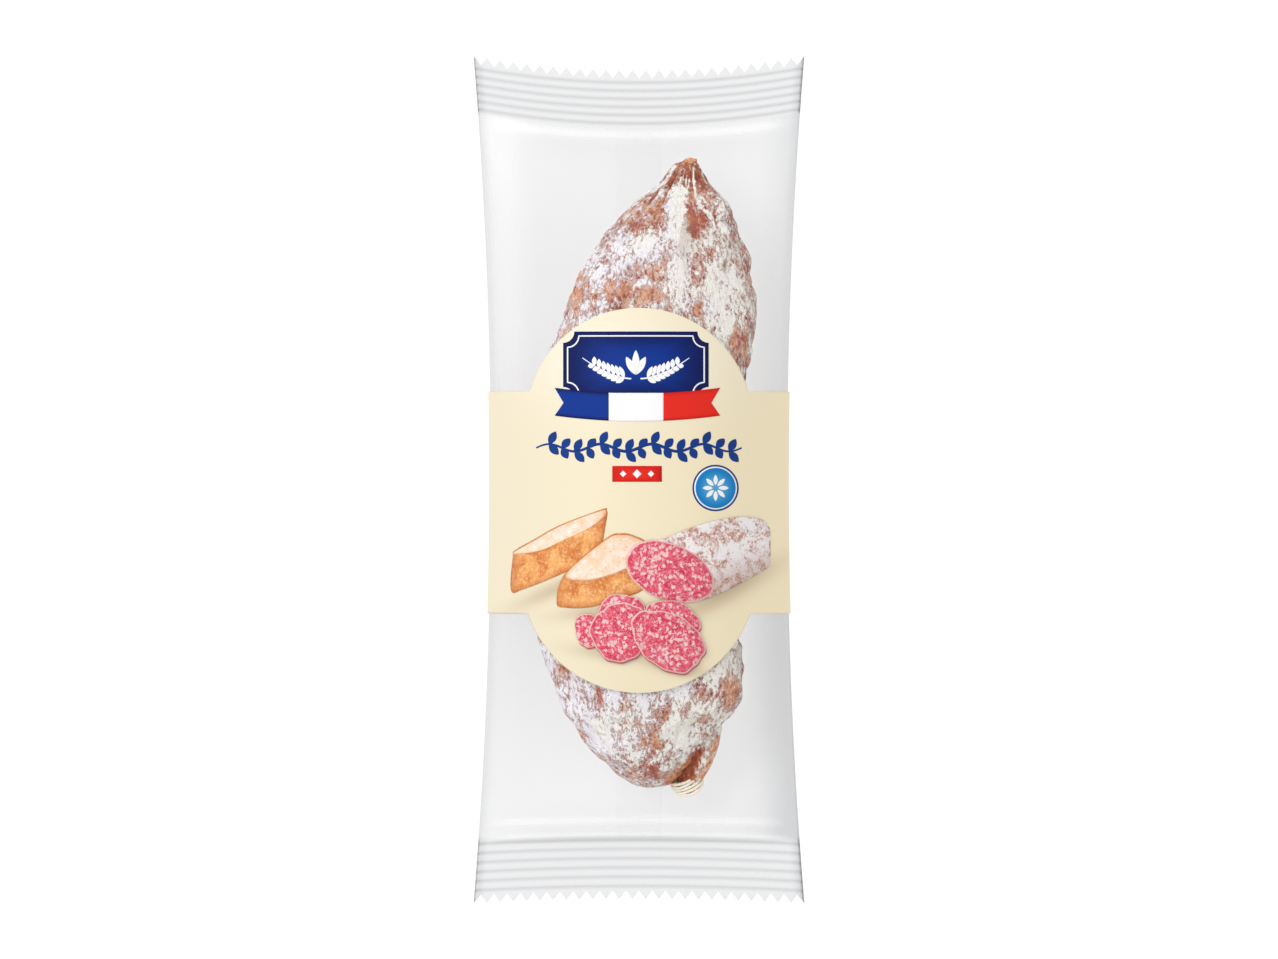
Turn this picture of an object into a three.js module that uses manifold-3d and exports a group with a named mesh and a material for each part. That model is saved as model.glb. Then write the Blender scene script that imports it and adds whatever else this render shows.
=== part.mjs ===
// A cured sausage in its natural casing, tied with string and sealed in a clear flow pack with a label.
// Millimetres. +X is across the pack, +Y along it towards the sausage's pointed end, +Z up.
// The pack lies on its back, and the origin is the middle of its underside.
import * as THREE from "three";
import { mergeVertices } from "three/addons/utils/BufferGeometryUtils.js";
import Module from "manifold-3d";

const wasm = await Module();
wasm.setup();

// Driving dimensions: the sausage.
const bodyLength = 163; // from the round end to the pointed end
const sausageWidth = 53.2;
const sausageHeight = 44.3;
const endDroop = 4.5; // how far both ends of the body's axis lie below its middle
const pleatCount = 9;
const pleatDepth = 0.07; // as a share of the radius
// The body's outline: each place along as a share of the length, from the round end, then its middle and
// its half width as shares of half the width.
const bodyProfile = [
  [0, 0.086, 0.045],
  [0.015, 0.09, 0.263],
  [0.049, 0.094, 0.496],
  [0.098, 0.109, 0.737],
  [0.172, 0.09, 0.925],
  [0.294, 0.03, 0.985],
  [0.442, 0.03, 1],
  [0.613, 0.075, 0.985],
  [0.748, 0.188, 0.917],
  [0.844, 0.259, 0.774],
  [0.906, 0.357, 0.571],
  [0.963, 0.436, 0.278],
  [1, 0.474, 0.09],
];

// Driving dimensions: the casing's tail, beside the round end, and the string wound round its neck.
const neckRadius = 2.2;
const neckSpare = 0.4; // bare neck at each end of the winding
const neckStart = [13.2, 3.2, -5.7]; // across, up from the round end, and over the middle of the body
const neckLean = [0.28, -0.96, -0.06];
const knobLength = 1.2; // what stands out past the winding
const knobRadius = 1.7;
// From the body to the neck: how far it is across, up from the round end and over the body's middle, and its radius.
const tailRoot = [
  [15.5, 20, -4, 7.5],
  [17.2, 13, -4.7, 5.4],
  [15.4, 8.4, -5.2, 3.9],
  [13, 4.6, -5.6, neckRadius],
];
const stringTurns = 5;
const stringThickness = 1.05;
const windingSwell = 0.6; // how much lower the outer turns are than the middle ones, as a share of a strand
const windingGap = 0.3; // between the neck and the winding

// Driving dimensions: the pack.
const filmWall = 0.4;
const sausageGap = 0.6; // between the sausage and the film round it
const sideRoom = 11.9; // flat film beside the sausage, on each side
const cutFlare = 4.5; // how much farther out the film's edge is at the cut ends than at the middle
const pointedEndRoom = 12; // from the sausage's ends to the crimped bands
const roundEndRoom = 11.6;
const sealLength = 15; // crimped band at each end, teeth included
const sealLevel = 14; // height of the crimped bands over the surface the pack lies on
const edgeRise = 3.5; // how much higher the film's side edges are at the middle
const crimpCount = 6;
const crimpHeight = 0.45;
const toothCount = 25;
const toothDepth = 2.1;
const pointedEndBow = 3.8; // how far the middle of each band is drawn in by the filling
const roundEndBow = 1.2;
const finWidth = 12; // seam along the back, folded flat
const seamGap = 0.3; // between faces that lie on each other

// Driving dimensions: the label, as it shows from above.
const labelWall = 0.3;
const labelGap = 0.3; // between the label and the film
const bandTop = 22.8;
const bandBottom = -34.8;
const upperArc = { centre: 14.9, radius: 29.4 };
const lowerArc = { centre: -24.4, radius: 30.7 };
const wingReach = 14; // how far the band's wings go in under the sides

// Worked out from the driving dimensions.
const neckLength = stringTurns * stringThickness + 2 * neckSpare;
const [leanAcross, leanAlong, leanUp] = neckLean.map((part) => part / Math.hypot(...neckLean));
const tailReach = -(neckStart[1] + leanAlong * (neckLength + knobLength)); // past the round end
const packLength = 2 * sealLength + pointedEndRoom + bodyLength + tailReach + roundEndRoom;
const halfLength = packLength / 2; // over the teeth, corner to corner
const sealStart = halfLength - sealLength;
const pointedEnd = sealStart - pointedEndRoom;
const roundEnd = pointedEnd - bodyLength;
const waistWidth = sausageWidth + 2 * sideRoom;
const cutWidth = waistWidth + 2 * cutFlare; // half the film tube's way round
const sealHalf = filmWall; // two walls pressed together
const backLevel = filmWall + seamGap; // the film's back lies on the folded seam
const axisLevel = backLevel + filmWall + sausageGap + sausageHeight / 2;
const packHeight = axisLevel + sausageHeight / 2 + sausageGap + filmWall;

// A closed geometry as a solid that can be joined and cut.
function solidOf(geometry) {
  const bare = geometry.index ? geometry.toNonIndexed() : geometry.clone();
  bare.deleteAttribute("normal");
  bare.deleteAttribute("uv");
  const merged = mergeVertices(bare, 1e-4);
  return new wasm.Manifold(
    new wasm.Mesh({
      numProp: 3,
      vertProperties: new Float32Array(merged.attributes.position.array),
      triVerts: new Uint32Array(merged.index.array),
    }),
  );
}

function geometryOf(solid) {
  const { vertProperties, triVerts } = solid.getMesh();
  const geometry = new THREE.BufferGeometry();
  geometry.setAttribute("position", new THREE.BufferAttribute(vertProperties, 3));
  geometry.setIndex(new THREE.BufferAttribute(triVerts, 1));
  geometry.computeVertexNormals();
  return geometry;
}

// A closed geometry through rings of points that follow each other along +Y. A ring runs over the top from
// the left edge to the right edge, then back underneath, and the two ends are closed from side to side.
function loft(rings) {
  const around = rings[0].length;
  const half = around / 2;
  const faces = [];
  const quad = (a, b, c, d) => faces.push(a, b, c, a, c, d);
  for (let i = 0; i + 1 < rings.length; i++) {
    for (let j = 0; j < around; j++) {
      const next = (j + 1) % around;
      quad(i * around + j, i * around + next, (i + 1) * around + next, (i + 1) * around + j);
    }
  }
  const last = (rings.length - 1) * around;
  faces.push(0, around - 1, 1, last, last + 1, last + around - 1);
  for (let j = 1; j + 1 < half; j++) {
    quad(j, around - j, around - j - 1, j + 1);
    quad(last + j, last + j + 1, last + around - j - 1, last + around - j);
  }
  faces.push(half - 1, half + 1, half, last + half - 1, last + half, last + half + 1);
  const geometry = new THREE.BufferGeometry();
  geometry.setAttribute("position", new THREE.Float32BufferAttribute(rings.flat(2), 3));
  geometry.setIndex(faces);
  return geometry;
}

const steps = (from, to, count) =>
  Array.from({ length: count + 1 }, (_, i) => from + ((to - from) * i) / count);
const clamp = (value, low, high) => Math.min(high, Math.max(low, value));

// The pack's outer surface. "along" is the place along the pack before the bands are drawn in, and
// "across" is a share of the half width. "grow" moves the whole surface outwards.
const nearness = (along) => clamp(Math.abs(along) / sealStart, 0, 1);
const halfWidth = (along) => waistWidth / 2 + cutFlare * (along / halfLength) ** 2;
const crimp = (along) => {
  const into = Math.abs(along) - sealStart;
  if (into <= 0) return 0;
  const pitch = (sealLength - toothDepth) / crimpCount;
  const wave = Math.abs(((into / pitch) % 1) - 0.5) * 2;
  return into < crimpCount * pitch ? (wave - 1) * crimpHeight : 0;
};
const edgeLevel = (along) => sealLevel + edgeRise * (1 - nearness(along) ** 2) + crimp(along);
const crownLevel = (along) => {
  const swell = (1 - nearness(along) ** 3) ** (along > 0 ? 1.15 : 1);
  return sealLevel + (packHeight - sealHalf - sealLevel) * swell + crimp(along);
};
const floorLevel = (along) => {
  const rise = clamp((nearness(along) - 0.45) / 0.55, 0, 1) ** 1.5;
  return backLevel + sealHalf + (sealLevel - backLevel - sealHalf) * rise + crimp(along);
};
const edgeRound = (across) => Math.sqrt(1 - clamp((Math.abs(across) - 0.9) / 0.1, 0, 1) ** 2);
const frontLevel = (across, along) => {
  const swell = (1 - Math.abs(across) ** 2.1) ** 0.92;
  return edgeLevel(along) + (crownLevel(along) - edgeLevel(along)) * swell + sealHalf * edgeRound(across);
};
const flatShare = 0.3; // of the half width, where the back lies flat
const backSurface = (across, along) => {
  const out = clamp((Math.abs(across) - flatShare) / (1 - flatShare), 0, 1);
  const sag = (1 - out ** 1.8) ** 0.8;
  return edgeLevel(along) + (floorLevel(along) - edgeLevel(along)) * sag - sealHalf * edgeRound(across);
};
// The bands bow in, so every point near them moves towards the middle of the pack.
const bowedPlace = (across, along) => {
  const bow = along > 0 ? pointedEndBow : roundEndBow;
  const share = clamp((nearness(along) - 0.5) / 0.5, 0, 1) ** 2;
  return along - Math.sign(along) * bow * (1 - across ** 2) * share;
};
// The place on the flat film that a point at "reached" comes from.
function unbowedPlace(across, reached) {
  let along = reached;
  for (let pass = 0; pass < 6; pass++) along += reached - bowedPlace(across, along);
  return along;
}
const columns = 18;
function packRing(along, grow) {
  const wide = halfWidth(along) + grow;
  const point = (turn, level, up) => {
    const across = -Math.cos(turn);
    return [across * wide, bowedPlace(across, along), level(across, along) + up * grow * Math.sin(turn)];
  };
  const over = steps(0, Math.PI, columns).map((turn) => point(turn, frontLevel, 1));
  const under = steps(Math.PI, 0, columns)
    .slice(1, -1)
    .map((turn) => point(turn, backSurface, -1));
  return [...over, ...under];
}
const packSolid = (places, grow) => solidOf(loft(places.map((along) => packRing(along, grow))));

// Cuts one end into teeth: everything outside a zigzag that follows the bowed end.
function toothCutter(side) {
  const inset = 0.1;
  const outside = side * (halfLength + 10);
  const reach = cutWidth / 2 + 5;
  const shape = new THREE.Shape();
  shape.moveTo(-reach, outside);
  steps(-1, 1, 2 * toothCount).forEach((across, i) => {
    const end = bowedPlace(across, side * halfLength) - side * inset;
    shape.lineTo((across * cutWidth) / 2, i % 2 ? end - side * toothDepth : end);
  });
  shape.lineTo(reach, outside);
  const geometry = new THREE.ExtrudeGeometry(shape, { depth: 2 * sealLevel, bevelEnabled: false });
  return solidOf(geometry);
}

// The seam along the back: a flap folded flat under the film and joined to it along one edge.
function foldedSeam() {
  const places = steps(-sealStart + 1, sealStart - 1, 24);
  const strip = (from, to, low, high) =>
    solidOf(
      loft(
        places.map((along) => {
          const y = bowedPlace(0, along);
          const z = backSurface(0, along);
          return [
            [from, y, z + low],
            [from, y, z + high],
            [to, y, z + high],
            [to, y, z + low],
          ];
        }),
      ),
    );
  const flap = strip(-finWidth / 2, finWidth / 2, -backLevel, -seamGap);
  const fold = strip(-finWidth / 2, -finWidth / 2 + filmWall, -backLevel, filmWall / 2);
  return flap.add(fold);
}

// The gap between the two edges of the film, which the folded seam covers.
function seamSlit() {
  const slit = new THREE.BoxGeometry(seamGap, sealStart, 2 * filmWall);
  slit.translate(-finWidth / 2 + filmWall + seamGap, 0, backLevel + filmWall / 2);
  return solidOf(slit);
}

function filmSolid() {
  const bodyPlaces = steps(-sealStart, sealStart, 28);
  const cavityPlaces = [-sealStart + 2, ...bodyPlaces.slice(1, -1), sealStart - 2];
  const crimps = steps(sealStart, halfLength - toothDepth, 2 * crimpCount).slice(1);
  const bandPlaces = [...crimps, halfLength];
  const outerPlaces = [...bandPlaces.map((place) => -place).reverse(), ...bodyPlaces, ...bandPlaces];
  const outer = packSolid(outerPlaces, 0);
  const inner = packSolid(cavityPlaces, -filmWall);
  return outer
    .subtract(inner)
    .subtract(toothCutter(1))
    .subtract(toothCutter(-1))
    .add(foldedSeam())
    .subtract(seamSlit());
}

// The label: an oval on the front whose middle band goes round both sides and ends on the back.
function labelSolid() {
  const places = steps(bandBottom - upperArc.radius, bandTop + lowerArc.radius, 24);
  const longer = [places[0] - 3, ...places, places.at(-1) + 3];
  const sleeve = packSolid(places, labelGap + labelWall).subtract(packSolid(longer, labelGap));
  const prism = (shape, low) => {
    const geometry = new THREE.ExtrudeGeometry(shape, {
      depth: packHeight,
      bevelEnabled: false,
      curveSegments: 24,
    });
    geometry.translate(0, 0, low);
    return solidOf(geometry);
  };
  const disc = ({ centre, radius }) => new THREE.Shape().absarc(0, centre, radius, 0, 2 * Math.PI);
  const bandHeight = bandTop - bandBottom;
  const bandMiddle = (bandTop + bandBottom) / 2;
  const box = (wide, tall, middle) =>
    solidOf(new THREE.BoxGeometry(wide, bandHeight, tall).translate(0, bandMiddle, middle));
  const frontFloor = sealLevel + edgeRise + labelGap;
  const front = prism(disc(upperArc), frontFloor).add(prism(disc(lowerArc), frontFloor));
  const band = box(2 * cutWidth, 2 * packHeight, packHeight / 2);
  const backOpening = box(waistWidth - 2 * wingReach, 2 * sealLevel, 0);
  return sleeve.intersect(front.add(band)).subtract(backOpening);
}

// The sausage's body: oval rings along a bent axis, pleated towards both gathered ends and kept inside the film.
function sausageBody() {
  const line = new THREE.CatmullRomCurve3(bodyProfile.map((station) => new THREE.Vector3(...station)));
  const room = filmWall + sausageGap;
  const rings = steps(0, 1, 34).map((share) => {
    const { x: place, y: middle, z: half } = line.getPoint(share);
    const along = roundEnd + place * bodyLength;
    const fromMiddle = Math.abs(2 * place - 1);
    const level = axisLevel - endDroop * fromMiddle ** 3;
    const gather = pleatDepth * clamp(2 * fromMiddle - 1, 0, 1);
    return steps(Math.PI, -Math.PI, 32)
      .slice(0, -1)
      .map((turn) => {
        const radius = half * (1 - gather * Math.abs(Math.sin((pleatCount * turn) / 2)));
        const x = (sausageWidth / 2) * (middle + radius * Math.cos(turn));
        const z = level + (sausageHeight / 2) * radius * Math.sin(turn);
        const across = x / halfWidth(along);
        const onFilm = unbowedPlace(across, along);
        return [x, along, clamp(z, backSurface(across, onFilm) + room, frontLevel(across, onFilm) - room)];
      });
  });
  return solidOf(loft(rings));
}

// The casing's gathered tail: it leaves the body beside its round end, and the string is wound on its neck.
const neckPoint = (distance) => [
  neckStart[0] + leanAcross * distance,
  roundEnd + neckStart[1] + leanAlong * distance,
  axisLevel + neckStart[2] + leanUp * distance,
];
function sausageTail() {
  const stations = [
    ...tailRoot.map(([x, y, z, radius]) => [x, roundEnd + y, axisLevel + z, radius]),
    [...neckPoint(0), neckRadius],
    [...neckPoint(neckLength), neckRadius],
    [...neckPoint(neckLength + knobLength), knobRadius],
  ].reverse();
  const rings = stations.map(([x, y, z, radius]) =>
    steps(Math.PI, -Math.PI, 16)
      .slice(0, -1)
      .map((turn) => [x + radius * Math.cos(turn), y, z + radius * Math.sin(turn)]),
  );
  return solidOf(loft(rings));
}

// The string: turns side by side round the neck, the outer turns lower than the middle ones.
function windingGeometry() {
  const length = stringTurns * stringThickness;
  const bore = neckRadius + windingGap;
  const profile = [new THREE.Vector2(bore, -length / 2)];
  for (let turn = 0; turn < stringTurns; turn++) {
    const place = (turn + 0.5) * stringThickness - length / 2;
    const share = place / (length / 2);
    const radius = bore + stringThickness * (0.1 + windingSwell * (1 - share ** 2));
    steps(-Math.PI / 2, Math.PI / 2, 4).forEach((angle) => {
      const out = radius + (stringThickness / 2) * Math.cos(angle);
      profile.push(new THREE.Vector2(out, place + 0.98 * (stringThickness / 2) * Math.sin(angle)));
    });
  }
  profile.push(new THREE.Vector2(bore, length / 2));
  profile.push(profile[0].clone());
  const winding = new THREE.LatheGeometry(profile, 24);
  const lean = new THREE.Vector3(leanAcross, leanAlong, leanUp);
  winding.applyQuaternion(new THREE.Quaternion().setFromUnitVectors(new THREE.Vector3(0, 1, 0), lean));
  return winding.translate(...neckPoint(neckLength / 2));
}

function mesh(name, geometry, colour, roughness, extra = {}) {
  const material = new THREE.MeshStandardMaterial({ color: colour, roughness, metalness: 0, ...extra });
  const made = new THREE.Mesh(geometry, material);
  made.name = name;
  return made;
}

const pack = new THREE.Group();
pack.add(mesh("sausage", geometryOf(sausageBody().add(sausageTail())), 0xb98f7c, 0.8));
pack.add(mesh("tie_string", windingGeometry(), 0xe6dcc3, 0.9));
const clear = { transparent: true, opacity: 0.25 };
pack.add(mesh("film_wrapper", geometryOf(filmSolid()), 0xf0f1f2, 0.25, clear));
pack.add(mesh("label", geometryOf(labelSolid()), 0xf6e8c6, 0.45));

export default pack;
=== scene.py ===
# A white-bloomed cured sausage, tied with string, in a clear crimped flow pack with a cream label.
# Lengths in the dictionaries are millimetres; meshes are made in metres. The pack lies on its back, label
# up.
import math

import bmesh
import bpy
import numpy as np
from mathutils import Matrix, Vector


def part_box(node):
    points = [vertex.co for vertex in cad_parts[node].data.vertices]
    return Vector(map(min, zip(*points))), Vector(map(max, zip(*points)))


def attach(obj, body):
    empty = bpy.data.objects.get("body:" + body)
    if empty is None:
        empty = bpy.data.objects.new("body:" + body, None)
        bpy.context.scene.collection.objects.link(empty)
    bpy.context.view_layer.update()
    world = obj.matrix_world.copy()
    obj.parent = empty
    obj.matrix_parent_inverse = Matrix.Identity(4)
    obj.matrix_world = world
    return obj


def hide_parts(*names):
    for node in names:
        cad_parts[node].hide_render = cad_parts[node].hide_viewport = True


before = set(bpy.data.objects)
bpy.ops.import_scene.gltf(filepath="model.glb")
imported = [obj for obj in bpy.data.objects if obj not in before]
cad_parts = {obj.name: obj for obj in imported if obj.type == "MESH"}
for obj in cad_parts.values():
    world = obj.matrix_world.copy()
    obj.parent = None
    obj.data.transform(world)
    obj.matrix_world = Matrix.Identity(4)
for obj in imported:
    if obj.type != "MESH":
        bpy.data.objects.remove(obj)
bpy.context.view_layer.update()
metre = 0.001  # one millimetre in metres
print("stage: frame loaded")

# straight above the pack: the picture is frameWidth wide at focusLevel above the floor, in metres
camera = {"distance": 4.0, "frameWidth": 0.3323, "focusLevel": 0.014, "sensor": 36.0}
eye = bpy.data.cameras.new("camera")
eye.sensor_width = camera["sensor"]
eye.lens = camera["sensor"] * camera["distance"] / camera["frameWidth"]
eye.clip_end = 60.0
eyeObject = bpy.data.objects.new("camera", eye)
eyeObject.location = (0.0, 0.0, camera["distance"] + camera["focusLevel"])
bpy.context.scene.collection.objects.link(eyeObject)
bpy.context.scene.camera = eyeObject


# meshes
def addPiece(name, points, faces, material, marks=None, wall=0.0, outward=False):
    # points in millimetres, made metres; marks maps an attribute's name to one value a point; wall is a
    # Solidify thickness and outward turns every face out
    mesh = bpy.data.meshes.new(name)
    mesh.from_pydata((np.asarray(points, float) * metre).tolist(), [], faces)
    mesh.update()
    for mark, values in (marks or {}).items():
        layer = mesh.attributes.new(mark, "FLOAT", "POINT")
        layer.data.foreach_set("value", np.asarray(values, np.float32).ravel())
    if outward:
        work = bmesh.new()
        work.from_mesh(mesh)
        bmesh.ops.recalc_face_normals(work, faces=work.faces)
        work.to_mesh(mesh)
        work.free()
    mesh.shade_smooth()
    mesh.materials.append(material)
    piece = bpy.data.objects.new(name, mesh)
    bpy.context.scene.collection.objects.link(piece)
    if wall:
        solid = piece.modifiers.new("wall", "SOLIDIFY")
        solid.thickness = wall * metre
        solid.offset = -1.0
        solid.use_even_offset = False
    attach(piece, "root")
    return piece


def gridFaces(rows, columns, closed=False):
    # quads of a grid whose point (row, column) is number row * columns + column; closed joins the last
    # column to the first
    row = np.arange(rows - 1)[:, None] * columns
    column = np.arange(columns if closed else columns - 1)[None, :]
    after = (column + 1) % columns
    quads = np.stack([row + column, row + after, row + columns + after, row + columns + column], -1)
    return quads.reshape(-1, 4).tolist()


def fan(ring, centre):
    # triangles (point, next point, centre) round a closed ring of point numbers
    return np.stack([ring, np.roll(ring, -1), np.full(len(ring), centre)], -1)


def cappedTube(rings):
    # rings[i, j] joined round and along, with a fan to the mean of each end ring closing it
    rows, columns, _ = rings.shape
    points = np.concatenate([rings.reshape(-1, 3), rings[0].mean(0)[None], rings[-1].mean(0)[None]])
    column = np.arange(columns)
    first = fan(column, rows * columns)[:, ::-1]
    last = fan((rows - 1) * columns + column, rows * columns + 1)
    return points, gridFaces(rows, columns, closed=True) + first.tolist() + last.tolist()


def waves(points, size, seed, count=28):
    # sum of sin(k . p + phase) / sqrt(count / 2) over random headings, with lengths near size
    chance = np.random.default_rng(seed)
    heading = chance.normal(size=(points.shape[-1], count))
    heading /= np.linalg.norm(heading, axis=0)
    pace = 2 * np.pi / size * chance.uniform(0.7, 1.4, count)
    phase = chance.uniform(0, 2 * np.pi, count)
    return np.sin(points @ (heading * pace) + phase).sum(-1) / math.sqrt(count / 2)


def smoothStep(low, high, value):
    # 3 t^2 - 2 t^3, with t from 0 at low to 1 at high
    t = np.clip((value - low) / (high - low), 0, 1)
    return t * t * (3 - 2 * t)


def bell(value, middle, width):
    # exp(-((value - middle) / width)^2)
    return np.exp(-(((value - middle) / width) ** 2))


def throughStations(stations, place):
    # a smooth curve through (place, values...) stations: cubic pieces whose slopes come from the neighbours
    table = np.asarray(stations, float)
    at, values = table[:, 0], table[:, 1:]
    slopes = np.gradient(values, at, axis=0)
    i = np.clip(np.searchsorted(at, place) - 1, 0, len(at) - 2)
    width = (at[i + 1] - at[i])[..., None]
    t = ((place - at[i])[..., None]) / width
    ahead = (2 * t**3 - 3 * t**2 + 1) * values[i] + (t**3 - 2 * t**2 + t) * width * slopes[i]
    return ahead + (3 * t**2 - 2 * t**3) * values[i + 1] + (t**3 - t**2) * width * slopes[i + 1]


# the film tube. across is -1 to 1 from side to side and along is the place from end to end, pointed end up
packTop = np.array(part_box("film_wrapper")[1]) / metre
film = {
    "halfLength": packTop[1] + 0.1,
    "height": packTop[2],
    "waistHalf": 38.5,
    "cutFlare": 4.5,
    "sealLength": 15.0,
    "sealLevel": 14.0,
    "edgeRise": 3.5,
    "backLevel": 0.7,
    "wall": 0.4,
    "sealWall": 0.16,
    # the pressed lines: how many, how deep and wide, and each end's first place past the band's start and
    # pitch
    "crimpCount": 6,
    "crimpHeight": 0.36,
    "grooveHalf": 0.45,
    "pointedGrooves": (1.0, 2.12),
    "roundGrooves": (-0.2, 2.42),
    "toothCount": 25,
    "toothDepth": 2.1,
    "pointedEndBow": 3.8,
    "roundEndBow": 1.2,
    # folds beside a band: place inside it, half width and height
    "pointedFolds": [(2.2, 1.5, 0.9)],
    "roundFolds": [(1.5, 0.8, 0.4), (5.6, 1.1, 0.6)],
    "pullHeight": 0.06,
    "drawDepth": 0.25,
    "slowHeight": 0.14,
    # opacity: the front over the sausage, along its folds, low on the right as painted shade and in the
    # bands, and the back
    "overSausage": 0.03,
    "folded": 0.22,
    "shaded": 0.14,
    "band": 0.86,
    "underneath": 0.025,
    "beside": 0.29,
    # painted light that raises the back's tone evenly, against the shade it lies in under the front and the
    # sausage
    "backPaintedLight": 0.3,
    "finWidth": 12.0,
    "finTone": 0.6,
    # where the sausage's tail lies under the film: its middle line (x, y) and half width
    "tailLine": ((17.0, -63.0), (12.9, -79.0)),
    "tailHalf": 4.1,
}
film["sealStart"] = film["halfLength"] - film["sealLength"]


def nearness(along):
    # |along| / sealStart: 0 at mid-length, 1 where the crimped bands start
    return np.clip(np.abs(along) / film["sealStart"], 0, 1)


def halfWidth(along):
    # waistHalf + cutFlare (along / halfLength)^2
    return film["waistHalf"] + film["cutFlare"] * (along / film["halfLength"]) ** 2


def groove(along):
    # 1 along each pressed line of a band, falling as exp(-(distance / grooveHalf)^2) to either side
    upper, lower = film["pointedGrooves"], film["roundGrooves"]
    into = np.abs(along) - film["sealStart"] - np.where(along > 0, upper[0], lower[0])
    pitch = np.where(along > 0, upper[1], lower[1])
    nearest = np.clip(np.round(into / pitch), 0, film["crimpCount"] - 1) * pitch
    return bell(into, nearest, film["grooveHalf"])


def crimp(along):
    # -crimpHeight groove(along)
    return -film["crimpHeight"] * groove(along)


def edgeLevel(along):
    # height of the side edges: sealLevel + edgeRise (1 - nearness^2) + crimp
    return film["sealLevel"] + film["edgeRise"] * (1 - nearness(along) ** 2) + crimp(along)


def crownLevel(along):
    # height of the front's middle: sealLevel + rise (1 - nearness^3)^power + crimp, slower at the pointed
    # end
    swell = (1 - nearness(along) ** 3) ** np.where(along > 0, 1.15, 1.0)
    return film["sealLevel"] + (film["height"] - film["wall"] - film["sealLevel"]) * swell + crimp(along)


def floorLevel(along):
    # height of the back's middle: flat to nearness 0.45, then low + (sealLevel - low) share^1.5, plus crimp
    low = film["backLevel"] + film["wall"]
    rise = np.clip((nearness(along) - 0.45) / 0.55, 0, 1) ** 1.5
    return low + (film["sealLevel"] - low) * rise + crimp(along)


def edgeRound(across):
    # a quarter circle over the outer tenth: sqrt(1 - ((|across| - 0.9) / 0.1)^2)
    return np.sqrt(1 - np.clip((np.abs(across) - 0.9) / 0.1, 0, 1) ** 2)


def skinThickness(along):
    # sealWall in the bands, wall where the web stands off, and a smooth step between
    return film["sealWall"] + (film["wall"] - film["sealWall"]) * smoothStep(1, 0.9, nearness(along))


def filmRelief(x, along):
    # bells beside each band, waves and a slanting dip that fade with the distance inside it, and slow waves
    across = np.clip(x / halfWidth(along), -1, 1)
    inside = film["sealStart"] - np.abs(along)
    middle = smoothStep(1.0, 0.7, np.abs(across))
    free = smoothStep(0, 6, inside) * smoothStep(1.0, 0.86, np.abs(across))
    pointed = sum(height * bell(inside, place, half) for place, half, height in film["pointedFolds"])
    rounded = sum(height * bell(inside, place, half) for place, half, height in film["roundFolds"])
    fold = np.where(along > 0, pointed, rounded) * middle
    spread = waves(np.stack([x / 5.5, inside * 0 + np.sign(along) * 3], -1), 1.0, 4, 12)
    pulls = film["pullHeight"] * spread * bell(inside, 5, 9) * smoothStep(0, 4, inside)
    corner = np.abs(x) - 33 + 0.42 * inside
    draw = -film["drawDepth"] * bell(corner, 0, 2.6) * bell(inside, 10, 12)
    slow = film["slowHeight"] * waves(np.stack([x / 26, along / 75], -1), 1.0, 9, 14)
    return fold + (pulls + draw + slow) * free


def frontLevel(across, along):
    # edge + (crown - edge) (1 - |across|^2.1)^0.92, plus the thickness rounded off at the edges
    swell = (1 - np.clip(np.abs(across), 0, 1) ** 2.1) ** 0.92
    base = edgeLevel(along) + (crownLevel(along) - edgeLevel(along)) * swell
    return base + skinThickness(along) * edgeRound(across)


def backSurface(across, along):
    # edge + (floor - edge) (1 - out^1.8)^0.8, with out from 0 at |across| 0.3 to 1 at the edge, less the
    # thickness
    out = np.clip((np.abs(across) - 0.3) / 0.7, 0, 1)
    base = edgeLevel(along) + (floorLevel(along) - edgeLevel(along)) * (1 - out**1.8) ** 0.8
    return base - skinThickness(along) * edgeRound(across)


def bowedPlace(across, along):
    # the bands bow in: along - sign(along) bow (1 - across^2) share^2, with share from 0 at nearness 0.5
    # to 1
    bow = np.where(along > 0, film["pointedEndBow"], film["roundEndBow"])
    share = np.clip((nearness(along) - 0.5) / 0.5, 0, 1)
    return along - np.sign(along) * bow * (1 - np.clip(np.abs(across), 0, 1) ** 2) * share**2


def unbowedPlace(across, reached):
    # the along whose bowedPlace is reached, by repeated correction
    along = np.array(reached, float)
    for _ in range(6):
        along = along + reached - bowedPlace(across, along)
    return along


def frontSkin(x, y):
    # height of the film's front over the plan point (x, y): frontLevel + filmRelief
    across = np.clip(x / halfWidth(y), -1, 1)
    along = unbowedPlace(across, y)
    return frontLevel(across, along) + filmRelief(x, along)


def backSkin(x, y):
    # height of the film's back under the plan point (x, y)
    across = np.clip(x / halfWidth(y), -1, 1)
    return backSurface(across, unbowedPlace(across, y))


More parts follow.
